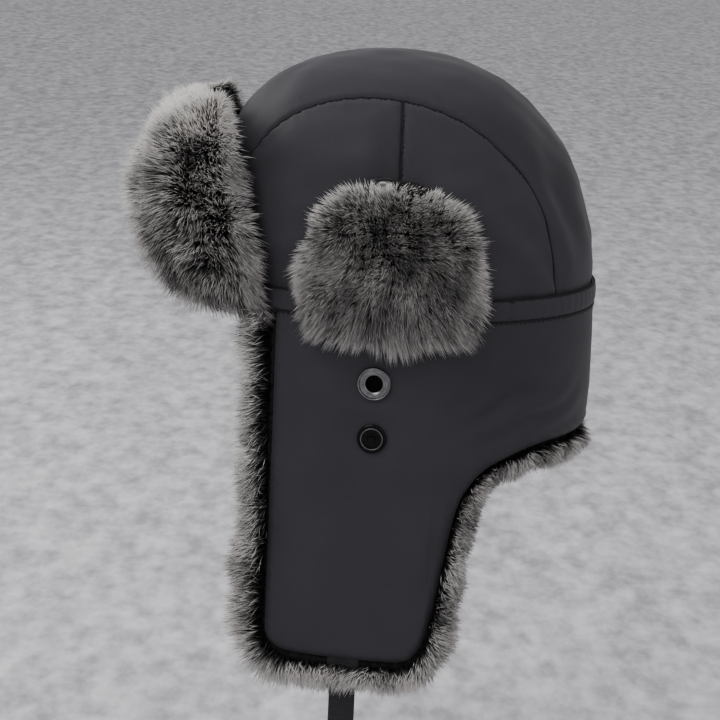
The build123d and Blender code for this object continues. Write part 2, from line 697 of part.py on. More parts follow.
slider_plane = hang_plane(PRONG_STRAP_DROPS, SLIDER_DROP)
with BuildPart() as strap_slider:
    add(sleeve(slider_plane, SLIDER_WIDTH, SLIDER_T, SLIDER_LENGTH, 1.6))
    with BuildSketch(slider_plane):
        Rectangle(STRAP_WIDTH + 2 * SLIDER_FIT, STRAP_T + 2 * SLIDER_FIT)
    extrude(amount=SLIDER_LENGTH, mode=Mode.SUBTRACT)
finish(strap_slider, "strap_slider")

print("cover hinge", round(hinge_y, 2), COVER_HINGE_Z)
print("flap direction", [round(v, 5) for v in flap_u])
support = sqrt((CROWN_HALF_LENGTH * flap_n[0]) ** 2 + (CROWN_HALF_WIDTH * flap_n[1]) ** 2)
reach = support + FLAP_HINGE_CLEARANCE
print("flap hinge", [round(CROWN_CENTRE_X + reach * flap_n[0], 3), round(reach * flap_n[1], 3), FOLD_Z])
print("strap root", [round(v, 2) for v in (root_x, root_y, TAB_BOTTOM_Z)], [round(v, 4) for v in strap_out])
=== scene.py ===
"""Looks of a winter trapper hat: nylon panels, pile fur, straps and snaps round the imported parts.

Shapes are worked out in millimetres in the hat's own frame (+Z up, -X the wearer's front, -Y the
wearer's left, origin in the middle of the head opening) and written to the meshes in metres.
"""

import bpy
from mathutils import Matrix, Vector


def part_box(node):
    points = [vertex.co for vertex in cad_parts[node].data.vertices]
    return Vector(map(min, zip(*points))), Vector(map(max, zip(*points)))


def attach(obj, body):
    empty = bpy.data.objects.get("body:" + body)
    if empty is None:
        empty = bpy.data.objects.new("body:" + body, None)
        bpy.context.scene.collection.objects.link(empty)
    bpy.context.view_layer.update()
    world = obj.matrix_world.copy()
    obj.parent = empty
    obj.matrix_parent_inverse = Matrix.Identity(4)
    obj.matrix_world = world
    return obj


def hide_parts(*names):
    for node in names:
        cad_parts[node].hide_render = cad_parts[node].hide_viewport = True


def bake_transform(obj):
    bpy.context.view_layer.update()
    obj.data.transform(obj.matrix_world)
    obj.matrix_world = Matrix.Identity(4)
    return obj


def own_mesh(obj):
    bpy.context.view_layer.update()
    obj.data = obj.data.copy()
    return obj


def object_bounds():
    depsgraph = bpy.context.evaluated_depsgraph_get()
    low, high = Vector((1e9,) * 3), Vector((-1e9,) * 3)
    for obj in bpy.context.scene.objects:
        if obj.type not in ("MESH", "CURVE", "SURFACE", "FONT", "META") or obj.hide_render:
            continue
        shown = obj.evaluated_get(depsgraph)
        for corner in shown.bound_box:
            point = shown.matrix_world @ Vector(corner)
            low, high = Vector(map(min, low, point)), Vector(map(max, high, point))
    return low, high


bl_info = {
    "name": "Trapper hat",
    "version": (1, 0, 0),
    "blender": (4, 5, 0),
    "location": "3D View > Sidebar > Hat",
    "description": "Builds the cloth, fur and fittings of a trapper hat",
    "category": "Object",
}

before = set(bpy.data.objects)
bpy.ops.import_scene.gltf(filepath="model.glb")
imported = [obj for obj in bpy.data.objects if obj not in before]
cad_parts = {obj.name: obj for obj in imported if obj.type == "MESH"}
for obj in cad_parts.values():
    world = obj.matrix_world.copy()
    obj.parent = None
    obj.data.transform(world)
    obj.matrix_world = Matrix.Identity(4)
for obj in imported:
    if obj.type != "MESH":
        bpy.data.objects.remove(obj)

import math

import bpy
import numpy as np
from bpy.props import FloatProperty, FloatVectorProperty, PointerProperty
from mathutils import Matrix, Vector

CAD_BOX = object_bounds()
MM = 0.001
SIDES = {"left": -1.0, "right": 1.0}


def lowest(node):
    """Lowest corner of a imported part, in millimetres."""
    return np.array(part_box(node)[0]) / MM


def highest(node):
    """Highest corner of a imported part, in millimetres."""
    return np.array(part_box(node)[1]) / MM


# Crown: a leaning dome on an ellipse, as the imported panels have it.
BAND_PROUD = 1.2
HALF_LENGTH = (highest("crown_band")[0] - lowest("crown_band")[0]) / 2 - BAND_PROUD
HALF_WIDTH = highest("crown_band")[1] - BAND_PROUD
CENTRE_X = highest("crown_band")[0] - BAND_PROUD - HALF_LENGTH
HEIGHT = highest("crown_centre_panel")[2]
LEAN = 12.0
FULLNESS = 2.5
BAND_HEIGHT = highest("crown_band")[2]
STRIP_ARC = ((-125.0, 30.0), (-10.0, 56.0), (115.0, 49.0))
SIDE_SEAM_X = highest("crown_side_front_left")[0]

# Layers inwards from the outer face.
SHELL_T = 1.4
LINING_INSET = 7.6
QUILT_INSET = 7.2

# Skirt: the wrap on the crown's ellipse and the ear flap on its own shallow arc.
SKIRT_FRONT_X = lowest("wrap_shell_left")[0]
FOLD_Z = lowest("wrap_shell_left")[2]
FLAP_BOTTOM_Z = lowest("ear_flap_shell_left")[2]
FLAP_FRONT = np.array((SKIRT_FRONT_X, 65.0))
FLAP_REAR = np.array((46.0, 79.5))
FLAP_SAG = 10.0
CORNER_R = 15.0
EDGE_REAR = ((1.0, 0.0), (9.0, 2.5), (15.5, 12.0), (20.0, 30.0), (24.0, 51.0), (30.3, 86.0), (37.8, 104.0),
             (52.0, 117.0), (80.0, 125.5), (106.0, 126.0))
NECK_FROM_X = 42.0

# Visor, turned up: half length and half width of its back at heights.
VISOR_LEVELS = np.array(((2.0, 112.8, 89.8), (25.0, 127.0, 89.0), (50.0, 131.5, 87.0), (80.0, 126.0, 83.0),
                         (108.0, 113.0, 77.0)))
VISOR_T = 4.5
VISOR_HALF_WIDTH = 64.0
VISOR_CORNER_R = 44.0
VISOR_EDGE = ((2.0, -86.0), (108.0, -108.0))

# Ear covers, turned up on their hinge line.
COVER_HINGE = (highest("crown_band")[1] + 3.0, 2.0)
COVER_LEAN = math.radians(3.2)
COVER_OUTSET = 4.2
COVER_MIDDLE = np.array((-11.5, 31.0))
COVER_HALF = 43.5
COVER_SIDE_TOP = 22.0
COVER_TOP = 75.0
COVER_BARE_RIM = 8.0
COVER_SNAP = np.array((-18.0, 68.5))
COVER_FUR_MIDDLE = 32.0

# Fittings on the skirt.
EYELET = np.array((-18.0, -35.5))
SNAP = np.array((-18.0, -66.5))

# Chin straps: routes as (outward, height) drops from the tabs' lower ends.
STRAP_ROOT = np.array((-28.36, 76.68, -206.0))
STRAP_OUT = np.array((-0.1844, 0.9829, 0.0))
STRAP_DROPS = {
    "left": ((0.0, 0.0), (0.9, -29.0), (-0.6, -61.0), (0.7, -95.0)),
    "right": ((0.0, 0.0), (0.9, -28.0), (-0.7, -60.0), (0.8, -92.0), (0.0, -122.0)),
}
STRAP_ENDS = {"left": ("buckle_socket",), "right": ("buckle_prongs", "strap_slider")}
STRAP_WIDTH = 15.0
STRAP_T = 1.8

# Places that the cloth faces away from.
CROWN_HEART = np.array((CENTRE_X, 0, 20.0))
SKIRT_HEART = np.array((CENTRE_X, 0, -60.0))

# Camera and stage.
TARGET = Vector((-0.0263, 0.0, -0.0427))
DISTANCE = 1.4
ELEVATION = math.radians(13.0)
ROLL = math.radians(2.5)
LENS = 120.7


class HatSizes(bpy.types.PropertyGroup):
    """Sizes of the hat's cloth and fur."""

    fur_length: FloatProperty(name="Fur length", description="Length of the guard hairs of the visor",
                              default=0.0165, unit="LENGTH")
    hair_width: FloatProperty(name="Hair width", description="Width of a lock of guard hairs at its root",
                              default=0.00058, unit="LENGTH")
    puff: FloatProperty(name="Puff", description="How far the padded panels stand between their seams",
                        default=0.0016, unit="LENGTH")
    seam_depth: FloatProperty(name="Seam depth", description="How deep the seams pull the panels in",
                              default=0.0013, unit="LENGTH")
    fold_depth: FloatProperty(name="Fold depth", description="Height of the soft folds in the cloth",
                              default=0.0012, unit="LENGTH")


class HatColours(bpy.types.PropertyGroup):
    """Colours of the hat's finishes."""

    nylon: FloatVectorProperty(name="Nylon", description="Woven nylon of the outside", subtype="COLOR",
                               default=(0.0385, 0.0362, 0.0430))
    fur_root: FloatVectorProperty(name="Fur root", description="Fur near the skin", subtype="COLOR",
                                  default=(0.010, 0.0095, 0.009))
    # Tip colour: the real frost of the hair ends, painted paler still to stand for the glow of back-lit
    # tips.
    fur_tip_and_glow: FloatVectorProperty(name="Fur tip", description="Frosted ends of the hairs", subtype="COLOR",
                                 default=(0.92, 0.88, 0.84))
    lining: FloatVectorProperty(name="Lining", description="Quilted satin inside the crown",
                                subtype="COLOR", default=(0.022, 0.022, 0.026))
    webbing: FloatVectorProperty(name="Webbing", description="Chin straps and their tabs",
                                 subtype="COLOR", default=(0.011, 0.011, 0.013))
    plastic: FloatVectorProperty(name="Plastic", description="Buckle and slider", subtype="COLOR",
                                 default=(0.016, 0.016, 0.018))
    black_metal: FloatVectorProperty(name="Black metal", description="Lacquered snaps", subtype="COLOR",
                                     default=(0.0012, 0.0012, 0.0014))
    bright_metal: FloatVectorProperty(name="Bright metal", description="Eyelets and sockets",
                                      subtype="COLOR", default=(0.21, 0.21, 0.215))
    floor: FloatVectorProperty(name="Floor", description="Pale floor under the hat", subtype="COLOR",
                               default=(0.60, 0.595, 0.615))


# --- Formulas ------------------------------------------------------------------------------------


def smooth(low, high, value):
    """0 below low, 1 above high, and an even S between them."""
    t = np.clip((value - low) / (high - low), 0, 1)
    return t * t * (3 - 2 * t)


def unit(vectors):
    """The same directions at length one."""
    return vectors / np.maximum(np.linalg.norm(vectors, axis=-1, keepdims=True), 1e-9)


def waves(points, pitch, seed, count=7):
    """Smooth seeded noise of about -1 to 1: a sum of sine waves in mixed directions near one pitch."""
    rng = np.random.default_rng(seed)
    ways = unit(rng.normal(size=(count, 3))) * (2 * math.pi / pitch)
    ways *= rng.uniform(0.6, 1.5, (count, 1))
    shift = rng.uniform(0, 2 * math.pi, count)
    return np.sin(points @ ways.T + shift).sum(-1) / math.sqrt(count / 2) / 1.7


def strip_edge(x):
    """Half-width of the strip over the top at a place along X: the arc through its three points."""
    (x1, y1), (x2, y2), (x3, y3) = STRIP_ARC
    lines = np.array(((x2 - x1, y2 - y1), (x3 - x2, y3 - y2)))
    sums = np.array((x2**2 - x1**2 + y2**2 - y1**2, x3**2 - x2**2 + y3**2 - y2**2)) / 2
    centre_x, centre_y = np.linalg.solve(lines, sums)
    radius = math.hypot(x1 - centre_x, y1 - centre_y)
    return centre_y + np.sqrt(radius**2 - (x - centre_x) ** 2)


def crown_share(z, inset=0.0):
    """Share of its full plan that the crown has at a height."""
    return np.maximum(1 - (np.maximum(z, 0) / (HEIGHT - inset)) ** FULLNESS, 1e-9) ** (1 / FULLNESS)


def crown_centre(z):
    """Middle of the crown's plan at a height: it leans forward towards the top."""
    return CENTRE_X - LEAN * np.maximum(z, 0) / HEIGHT


def crown_ray(pitch, roll, inset=0.0):
    """Point of the dome on a ray from the opening's middle; pitch goes from the front over the top."""
    way = np.stack((-np.cos(pitch) * np.cos(roll), np.sin(roll), np.sin(pitch) * np.cos(roll)), -1)
    along = (way[..., 0] + LEAN * way[..., 2] / HEIGHT) / (HALF_LENGTH - inset)
    plan = np.sqrt(along**2 + (way[..., 1] / (HALF_WIDTH - inset)) ** 2)
    reach = (plan**FULLNESS + np.abs(way[..., 2] / (HEIGHT - inset)) ** FULLNESS) ** (-1 / FULLNESS)
    return way * reach[..., None] + np.array((CENTRE_X, 0, 0))


def crown_side(x, z):
    """Half-width of the dome at a place along X and a height."""
    along = (x - crown_centre(z)) / (HALF_LENGTH * crown_share(z))
    return HALF_WIDTH * crown_share(z) * np.sqrt(np.maximum(1 - along**2, 0))


def halved(low, high, above):
    """Where a condition stops being true between low and high, by halving 40 times."""
    low = np.array(low, float)
    high = np.array(high, float)
    for _ in range(40):
        middle = (low + high) / 2
        hit = above(middle)
        low = np.where(hit, middle, low)
        high = np.where(hit, high, middle)
    return (low + high) / 2


def grid_normals(points, away_from):
    """Unit normals of a grid of points, on the side away from a place."""
    cross = np.cross(np.gradient(points, axis=0), np.gradient(points, axis=1))
    flip = np.sign((unit(cross) * (points - away_from)).sum(-1).mean())
    return unit(cross) * (flip if flip else 1.0)


# --- Meshes --------------------------------------------------------------------------------------


def make_piece(name, points, faces, uv=None):
    """Piece from points in millimetres and arrays of faces; uv gives a place on the bake map per point."""
    mesh = bpy.data.meshes.new(name)
    mesh.vertices.add(len(points))
    mesh.vertices.foreach_set("co", (points * MM).astype(np.float32).ravel())
    corners = np.concatenate([f.ravel() for f in faces]).astype(np.int32)
    counts = np.concatenate([np.full(len(f), f.shape[1]) for f in faces])
    mesh.loops.add(len(corners))
    mesh.polygons.add(len(counts))
    mesh.polygons.foreach_set("loop_start", (np.cumsum(counts) - counts).astype(np.int32))
    mesh.polygons.foreach_set("vertices", corners)
    mesh.polygons.foreach_set("use_smooth", np.ones(len(counts), bool))
    if uv is not None:
        layer = mesh.uv_layers.new(name="OFBake")
        layer.data.foreach_set("uv", uv[corners].astype(np.float32).ravel())
    mesh.update(calc_edges=True)
    mesh.validate()
    piece = bpy.data.objects.new(name, mesh)
    bpy.context.scene.collection.objects.link(piece)
    return piece


def grid_faces(rows, columns, wrap=False):
    """Quads between the points of a grid; wrap joins the last column to the first."""
    row, column = np.mgrid[0:rows - 1, 0:columns - (0 if wrap else 1)]
    after = (column + 1) % columns
    quads = (row * columns + column, row * columns + after, (row + 1) * columns + after,
             (row + 1) * columns + column)
    return np.stack(quads, -1).reshape(-1, 4)


def sheet_piece(name, points, away_from, thick=SHELL_T, keep=None, wrap=False):
    """Cloth sheet on a grid of points with its outside away from a place, thickened inwards."""
    faces = grid_faces(points.shape[0], points.shape[1], wrap)
    flat = points.reshape(-1, 3)
    middles = flat[faces].mean(1)
    cross = np.cross(flat[faces[:, 2]] - flat[faces[:, 0]], flat[faces[:, 3]] - flat[faces[:, 1]])
    if (cross * (middles - away_from)).sum() < 0:
        faces = faces[:, ::-1]
    if keep is not None:
        faces = faces[keep(middles)]
    used, places = np.unique(faces, return_inverse=True)
    piece = make_piece(name, flat[used], [places.reshape(-1, 4)])
    solid = piece.modifiers.new("Thickness", "SOLIDIFY")
    solid.thickness = thick * MM
    solid.offset = -1
    return piece


def tube_piece(name, rings, middles):
    """Closed tube on rings of points about a line of middles, with a flat cap at each end."""
    rows, columns = rings.shape[:2]
    flat = np.concatenate((rings.reshape(-1, 3), middles[:1], middles[-1:]))
    ring = np.arange(columns)
    after = (ring + 1) % columns
    last = (rows - 1) * columns
    hub = np.full(columns, rows * columns)
    quads = grid_faces(rows, columns, wrap=True)
    caps = np.concatenate((np.stack((after, ring, hub), -1),
                           np.stack((last + ring, last + after, hub + 1), -1)))
    cross = np.cross(flat[quads[:, 2]] - flat[quads[:, 0]], flat[quads[:, 3]] - flat[quads[:, 1]])
    if (cross * (flat[quads].mean(1) - middles[quads[:, 0] // columns])).sum() < 0:
        quads, caps = quads[:, ::-1], caps[:, ::-1]
    return make_piece(name, flat, [quads, caps])


def hair_piece(name, roots, aims, lengths, widths, tones, bend, seed, curved):
    """Closed locks of hair: a curved lock is a spindle, pointed at both ends, and a plain one a spike.

    The widest place of a spindle lies 0.6 of its length along its aim and a third of its bend over; its tip
    lies its whole length along and its whole bend over. The bake map holds (tone, share of the length).
    """
    rng = np.random.default_rng(seed)
    count = len(roots)
    aims = unit(aims)
    helper = unit(rng.normal(size=(count, 3)))
    across = unit(np.cross(aims, helper))
    other = np.cross(aims, across)
    turn = np.arange(3) * 2 * math.pi / 3
    ring = (np.cos(turn)[None, :, None] * across[:, None] + np.sin(turn)[None, :, None] * other[:, None])
    ring = ring * widths[:, None, None] / 2
    tips = roots + aims * lengths[:, None] + bend
    if curved:
        middles = roots + aims * lengths[:, None] * 0.6 + bend * 0.33
        points = np.concatenate((roots[:, None], middles[:, None] + ring, tips[:, None]), 1)
        shares = np.array((0, 0.6, 0.6, 0.6, 1.0))
        shift = np.array((0, -1, 0, 1, 0)) * 0.012
        threes = np.array(((0, 2, 1), (0, 3, 2), (0, 1, 3), (1, 2, 4), (2, 3, 4), (3, 1, 4)))
    else:
        points = np.concatenate((roots[:, None] + ring, tips[:, None]), 1)
        shares = np.array((0, 0, 0, 1.0))
        shift = np.array((-1, 0, 1, 0)) * 0.012
        threes = np.array(((0, 2, 1), (0, 1, 3), (1, 2, 3), (2, 0, 3)))
    size = points.shape[1]
    base = (np.arange(count) * size)[:, None, None]
    uv = np.stack((np.clip(tones, 0.02, 0.98)[:, None] + shift[None, :],
                   np.broadcast_to(shares, (count, size))), -1)
    faces = (threes[None] + base).reshape(-1, 3)
    return make_piece(name, points.reshape(-1, 3), [faces], uv.reshape(-1, 2))


def clumped(places, cell, pull, seed):
    """Step from each flat place towards the wandering middle of its cell: tips draw together in tufts."""
    cells = np.floor(places / cell)
    mixed = np.sin(cells @ np.array((127.1, 311.7)) + seed) * 43758.5453
    mixed_too = np.sin(cells @ np.array((269.5, 183.3)) + seed) * 43758.5453
    jitter = np.stack((mixed - np.floor(mixed), mixed_too - np.floor(mixed_too)), -1)
    return ((cells + 0.2 + 0.6 * jitter) * cell - places) * pull


# --- Materials -----------------------------------------------------------------------------------


def blank(name, roughness, **sockets):
    """New node material and its shader, with plain values on the shader's own sockets."""
    material = bpy.data.materials.new(name)
    material.use_nodes = True
    shader = material.node_tree.nodes["Principled BSDF"]
    shader.inputs["Roughness"].default_value = roughness
    for socket, value in sockets.items():
        shader.inputs[socket.replace("_", " ")].default_value = value
    return material, shader


def node(material, kind, **settings):
    """New node of a material with its settings."""
    made = material.node_tree.nodes.new(kind)
    for key, value in settings.items():
        setattr(made, key, value)
    return made


def object_place(material, scale=(1.0, 1.0, 1.0)):
    """Object coordinates of the piece, scaled."""
    place = node(material, "ShaderNodeTexCoord")
    mapping = node(material, "ShaderNodeMapping")
    mapping.inputs["Scale"].default_value = scale
    material.node_tree.links.new(place.outputs["Object"], mapping.inputs["Vector"])
    return mapping.outputs["Vector"]


def noise(material, vector, scale, detail=3.0):
    """Noise value at a scale in turns a metre."""
    made = node(material, "ShaderNodeTexNoise")
    made.inputs["Scale"].default_value = scale
    made.inputs["Detail"].default_value = detail
    material.node_tree.links.new(vector, made.inputs["Vector"])
    return made.outputs["Fac"]


def ramp(material, factor, stops):
    """Colour ramp with (place, colour) stops."""
    made = node(material, "ShaderNodeValToRGB")
    elements = made.color_ramp.elements
    while len(elements) < len(stops):
        elements.new(0.5)
    for element, (place, colour) in zip(elements, stops):
        element.position = place
        element.color = (*colour, 1.0)
    material.node_tree.links.new(factor, made.inputs["Fac"])
    return made.outputs["Color"]


def mixed(material, kind, factor, one, two):
    """Mix of two colours, by a number or a socket."""
    made = node(material, "ShaderNodeMix", data_type="RGBA", blend_type=kind)
    for name, value in (("Factor", factor), ("A", one), ("B", two)):
        target = made.inputs[name]
        if name != "Factor":
            target = [s for s in made.inputs if s.name == name and s.type == "RGBA"][0]
        if isinstance(value, bpy.types.NodeSocket):
            material.node_tree.links.new(value, target)
        else:
            target.default_value = value
    return [s for s in made.outputs if s.type == "RGBA"][0]


def bump(material, shader, heights):
    """Chain of bumps from (height socket, strength, distance in metres)."""
    last = None
    for height, strength, distance in heights:
        made = node(material, "ShaderNodeBump")
        made.inputs["Strength"].default_value = strength
        made.inputs["Distance"].default_value = distance
        material.node_tree.links.new(height, made.inputs["Height"])
        if last:
            material.node_tree.links.new(last.outputs["Normal"], made.inputs["Normal"])
        last = made
    material.node_tree.links.new(last.outputs["Normal"], shader.inputs["Normal"])


def bands(material, vector, direction, scale):
    """Fine parallel lines across one axis."""
    made = node(material, "ShaderNodeTexWave", bands_direction=direction)
    made.inputs["Scale"].default_value = scale
    made.inputs["Distortion"].default_value = 0.6
    made.inputs["Detail"].default_value = 1.0
    material.node_tree.links.new(vector, made.inputs["Vector"])
    return made.outputs["Fac"]


def tinted(colour, share):
    """A colour made lighter or darker by a share."""
    return tuple(min(c * share, 1.0) for c in colour)


def clouded(material, shader, factor, low, high):
    """Base colour between two stops, each a (place, colour), by a noise value."""
    material.node_tree.links.new(ramp(material, factor, (low, high)), shader.inputs["Base Color"])


def nylon_material(colour):
    """Dull woven nylon: a fine two-way weave, faint cloudiness and small soft creases."""
    material, shader = blank("nylon_cloth", 0.62, Specular_IOR_Level=0.22, Sheen_Weight=0.08,
                             Sheen_Roughness=0.4)
    place = object_place(material)
    cloud = noise(material, place, 14.0)
    thread = noise(material, object_place(material, (1.0, 1.0, 6.0)), 900.0, 1.0)
    base = ramp(material, cloud, ((0.3, tinted(colour, 0.86)), (0.7, tinted(colour, 1.14))))
    worn = ramp(material, thread, ((0.3, (0.82, 0.82, 0.82)), (0.7, (1.0, 1.0, 1.0))))
    material.node_tree.links.new(mixed(material, "MULTIPLY", 1.0, base, worn), shader.inputs["Base Color"])
    bump(material, shader, ((bands(material, place, "X", 330.0), 0.10, 0.0002),
                            (bands(material, place, "Z", 330.0), 0.10, 0.0002),
                            (noise(material, place, 60.0, 2.0), 0.18, 0.0016),
                            (noise(material, place, 420.0, 2.0), 0.10, 0.0003)))
    return material


def thread_material(colour):
    """Sewing thread a shade darker than the cloth, twisted."""
    material, shader = blank("seam_thread", 0.75, Specular_IOR_Level=0.2)
    place = object_place(material)
    clouded(material, shader, noise(material, place, 1200.0), (0.3, tinted(colour, 0.18)),
            (0.7, tinted(colour, 0.5)))
    bump(material, shader, ((bands(material, place, "DIAGONAL", 900.0), 0.2, 0.0001),))
    return material


def fur_material(name, root, tip, shade):
    """Pile fur: dark at the skin and frosted at the tips, the tips painted paler still as the glow of
    back-lit hair; each lock of its own tone.

    Colour is a function of the bake map alone: u is the lock's tone and v the share of its length.
    """
    material, shader = blank(name, 0.62, Specular_IOR_Level=0.30)
    uv = node(material, "ShaderNodeUVMap", uv_map="OFBake")
    parts = node(material, "ShaderNodeSeparateXYZ")
    material.node_tree.links.new(uv.outputs["UV"], parts.inputs["Vector"])
    tone, share = parts.outputs["X"], parts.outputs["Y"]
    middle = tuple(r * 2.6 for r in root)
    dark = ramp(material, share, ((0.0, root), (0.6, root), (0.8, middle),
                                  (1.0, tinted(tip, 0.26 * shade))))
    pale = ramp(material, share, ((0.0, root), (0.38, middle), (0.6, tinted(tip, 0.40 * shade)),
                                  (0.76, tinted(tip, 0.95 * shade)), (1.0, tinted(tip, shade))))
    material.node_tree.links.new(mixed(material, "MIX", tone, dark, pale), shader.inputs["Base Color"])
    return material


def skin_material(colour):
    """Dark pile cloth under the hairs."""
    material, shader = blank("fur_skin", 0.8, Specular_IOR_Level=0.1)
    place = object_place(material)
    clouded(material, shader, noise(material, place, 300.0), (0.3, tinted(colour, 0.6)),
            (0.8, tinted(colour, 2.2)))
    bump(material, shader, ((noise(material, place, 700.0), 0.5, 0.001),))
    return material


def lining_material(colour):
    """Satin with a soft shine."""
    material, shader = blank("quilted_satin", 0.38, Specular_IOR_Level=0.5, Sheen_Weight=0.2)
    place = object_place(material)
    clouded(material, shader, noise(material, place, 25.0), (0.3, tinted(colour, 0.85)),
            (0.7, tinted(colour, 1.2)))
    bump(material, shader, ((bands(material, place, "DIAGONAL", 420.0), 0.12, 0.0002),))
    return material


def webbing_material(colour):
    """Woven webbing: ribs across the strap and a soft fuzz."""
    material, shader = blank("ribbed_webbing", 0.7, Specular_IOR_Level=0.3, Sheen_Weight=0.15)
    place = object_place(material)
    clouded(material, shader, noise(material, place, 500.0), (0.3, tinted(colour, 0.7)),
            (0.75, tinted(colour, 1.5)))
    bump(material, shader, ((bands(material, place, "Z", 240.0), 0.35, 0.0004),
                            (bands(material, place, "X", 300.0), 0.25, 0.0003)))
    return material


def moulded_material(colour):
    """Moulded plastic with a fine spark grain."""
    material, shader = blank("moulded_plastic", 0.42, Specular_IOR_Level=0.5)
    place = object_place(material)
    clouded(material, shader, noise(material, place, 90.0), (0.35, tinted(colour, 0.9)),
            (0.65, tinted(colour, 1.15)))
    bump(material, shader, ((noise(material, place, 2200.0), 0.12, 0.0001),))
    return material


def metal_material(name, colour, roughness, metallic, shine=0.5):
    """Pressed metal with faint rubbed patches."""
    material, shader = blank(name, roughness, Metallic=metallic, Specular_IOR_Level=shine)
    place = object_place(material)
    patch = noise(material, place, 420.0, 4.0)
    clouded(material, shader, patch, (0.35, tinted(colour, 0.8)), (0.7, tinted(colour, 1.2)))
    bump(material, shader, ((patch, 0.08, 0.0001),))
    return material


def coat(piece, material):
    """Give a piece its material."""
    piece.data.materials.clear()
    piece.data.materials.append(material)
    return piece


def finish_of(name):
    """A finish by name, made once from the colours of the scene."""
    if name in bpy.data.materials:
        return bpy.data.materials[name]
    colours = bpy.context.scene.hat_colours
    nylon, root, tip, lining, webbing, plastic, black, bright = (
        tuple(getattr(colours, key)) for key in (
            "nylon", "fur_root", "fur_tip_and_glow", "lining", "webbing", "plastic", "black_metal", "bright_metal"))
    makers = {
        "nylon_cloth": lambda: nylon_material(nylon),
        "seam_thread": lambda: thread_material(nylon),
        "guard_hair": lambda: fur_material("guard_hair", root, tip, 1.0),
        "underfur": lambda: fur_material("underfur", root, tip, 0.3),
        "fur_skin": lambda: skin_material(root),
        "quilted_satin": lambda: lining_material(lining),
        "ribbed_webbing": lambda: webbing_material(webbing),
        "moulded_plastic": lambda: moulded_material(plastic),
        "black_lacquer": lambda: metal_material("black_lacquer", black, 0.2, 0.0, 0.16),
        # The snap's raised ring in a paler metal: a painted highlight on the black lacquer.
        "rubbed_lacquer": lambda: metal_material("rubbed_lacquer", tinted(bright, 0.6), 0.3, 0.8),
        "nickel": lambda: metal_material("nickel", bright, 0.28, 1.0),
    }
    return makers[name]()


# --- Stage ---------------------------------------------------------------------------------------


class HatOperator:
    """What every maker of the hat shares."""

    bl_options = {"REGISTER"}


class HAT_OT_camera(HatOperator, bpy.types.Operator):
    """Camera from the wearer's left and a little above, rolled slightly"""

    bl_idname = "hat.camera"
    bl_label = "Camera"

    def execute(self, context):
        data = bpy.data.cameras.new("camera")
        data.lens = LENS
        data.sensor_width = 36.0
        camera = bpy.data.objects.new("camera", data)
        back = Vector((0, -math.cos(ELEVATION), math.sin(ELEVATION)))
        turn = (-back).to_track_quat("-Z", "Y").to_matrix().to_4x4()
        camera.matrix_world = (Matrix.Translation(TARGET + back * DISTANCE) @ turn
                               @ Matrix.Rotation(ROLL, 4, "Z"))
        context.scene.collection.objects.link(camera)
        context.scene.camera = camera
        return {"FINISHED"}


def soft_light(context, name, energy, size, place, aim):
    """Large soft panel light that faces a point."""
    data = bpy.data.lights.new(name, "AREA")
    data.energy = energy
    data.shape = "DISK"
    data.size = size
    light = bpy.data.objects.new(name, data)
    light.location = place
    light.rotation_mode = "QUATERNION"
    light.rotation_quaternion = (Vector(aim) - Vector(place)).to_track_quat("-Z", "Y")
    context.scene.collection.objects.link(light)


class HAT_OT_stage(HatOperator, bpy.types.Operator):
    """Pale floor, soft lights and a grey surround"""

    bl_idname = "hat.stage"
    bl_label = "Stage"

    def execute(self, context):
        reach = 12000.0
        level = (CAD_BOX[0].z - 0.02) / MM
        corners = np.array(((-reach, -reach, level), (reach, -reach, level), (reach, reach, level),
                            (-reach, reach, level)))
        floor = make_piece("floor", corners, [np.array(((0, 1, 2, 3),))])
        material, shader = blank("felt_floor", 0.95, Specular_IOR_Level=0.1)
        colour = tuple(context.scene.hat_colours.floor)
        place = object_place(material, (1.0, 0.5, 1.0))
        clouded(material, shader, noise(material, place, 62.0, 6.0), (0.3, tinted(colour, 0.66)),
                (0.7, tinted(colour, 1.30)))
        floor.data.materials.append(material)
        soft_light(context, "key", 27.0, 1.8, (-1.2, -1.7, 2.0), (0, 0, 0))
        soft_light(context, "fill", 5.0, 2.4, (1.6, -2.0, 0.7), (0, 0, 0))
        soft_light(context, "top", 14.0, 1.8, (-0.2, 0.5, 2.2), (0, 0, 0))
        soft_light(context, "rim", 30.0, 1.2, (-2.0, 1.1, 0.8), (0, 0, 0))
        world = bpy.data.worlds.new("surround")
        world.use_nodes = True
        sky = world.node_tree.nodes["Background"]
        sky.inputs["Color"].default_value = (0.80, 0.80, 0.83, 1.0)
        sky.inputs["Strength"].default_value = 0.66
        context.scene.world = world
        return {"FINISHED"}


# --- Chin straps ---------------------------------------------------------------------------------


def strap_route(side):
    """Control points of a strap in metres: its drops laid out from the tab's lower end."""
    mirror = np.array((1.0, SIDES[side], 1.0))
    drops = np.array(STRAP_DROPS[side])
    points = STRAP_ROOT + drops[:, :1] * STRAP_OUT + drops[:, 1:] * np.array((0, 0, 1.0))
    return points * mirror * MM


def spline_points(name, points):
    """Points read from one smooth open spline of the given control points."""
    curve = bpy.data.curves.new(name, "CURVE")
    curve.dimensions = "3D"
    curve.resolution_u = 24
    spline = curve.splines.new("NURBS")
    spline.points.add(len(points) - 1)
    spline.points.foreach_set("co", np.column_stack((points, np.ones(len(points)))).ravel())
    spline.order_u = 3
    spline.use_endpoint_u = True
    line = bpy.data.objects.new(name, curve)
    mesh = bpy.data.meshes.new_from_object(line)
    found = np.zeros(len(mesh.vertices) * 3)
    mesh.vertices.foreach_get("co", found)
    bpy.data.objects.remove(line)
    return found.reshape(-1, 3)


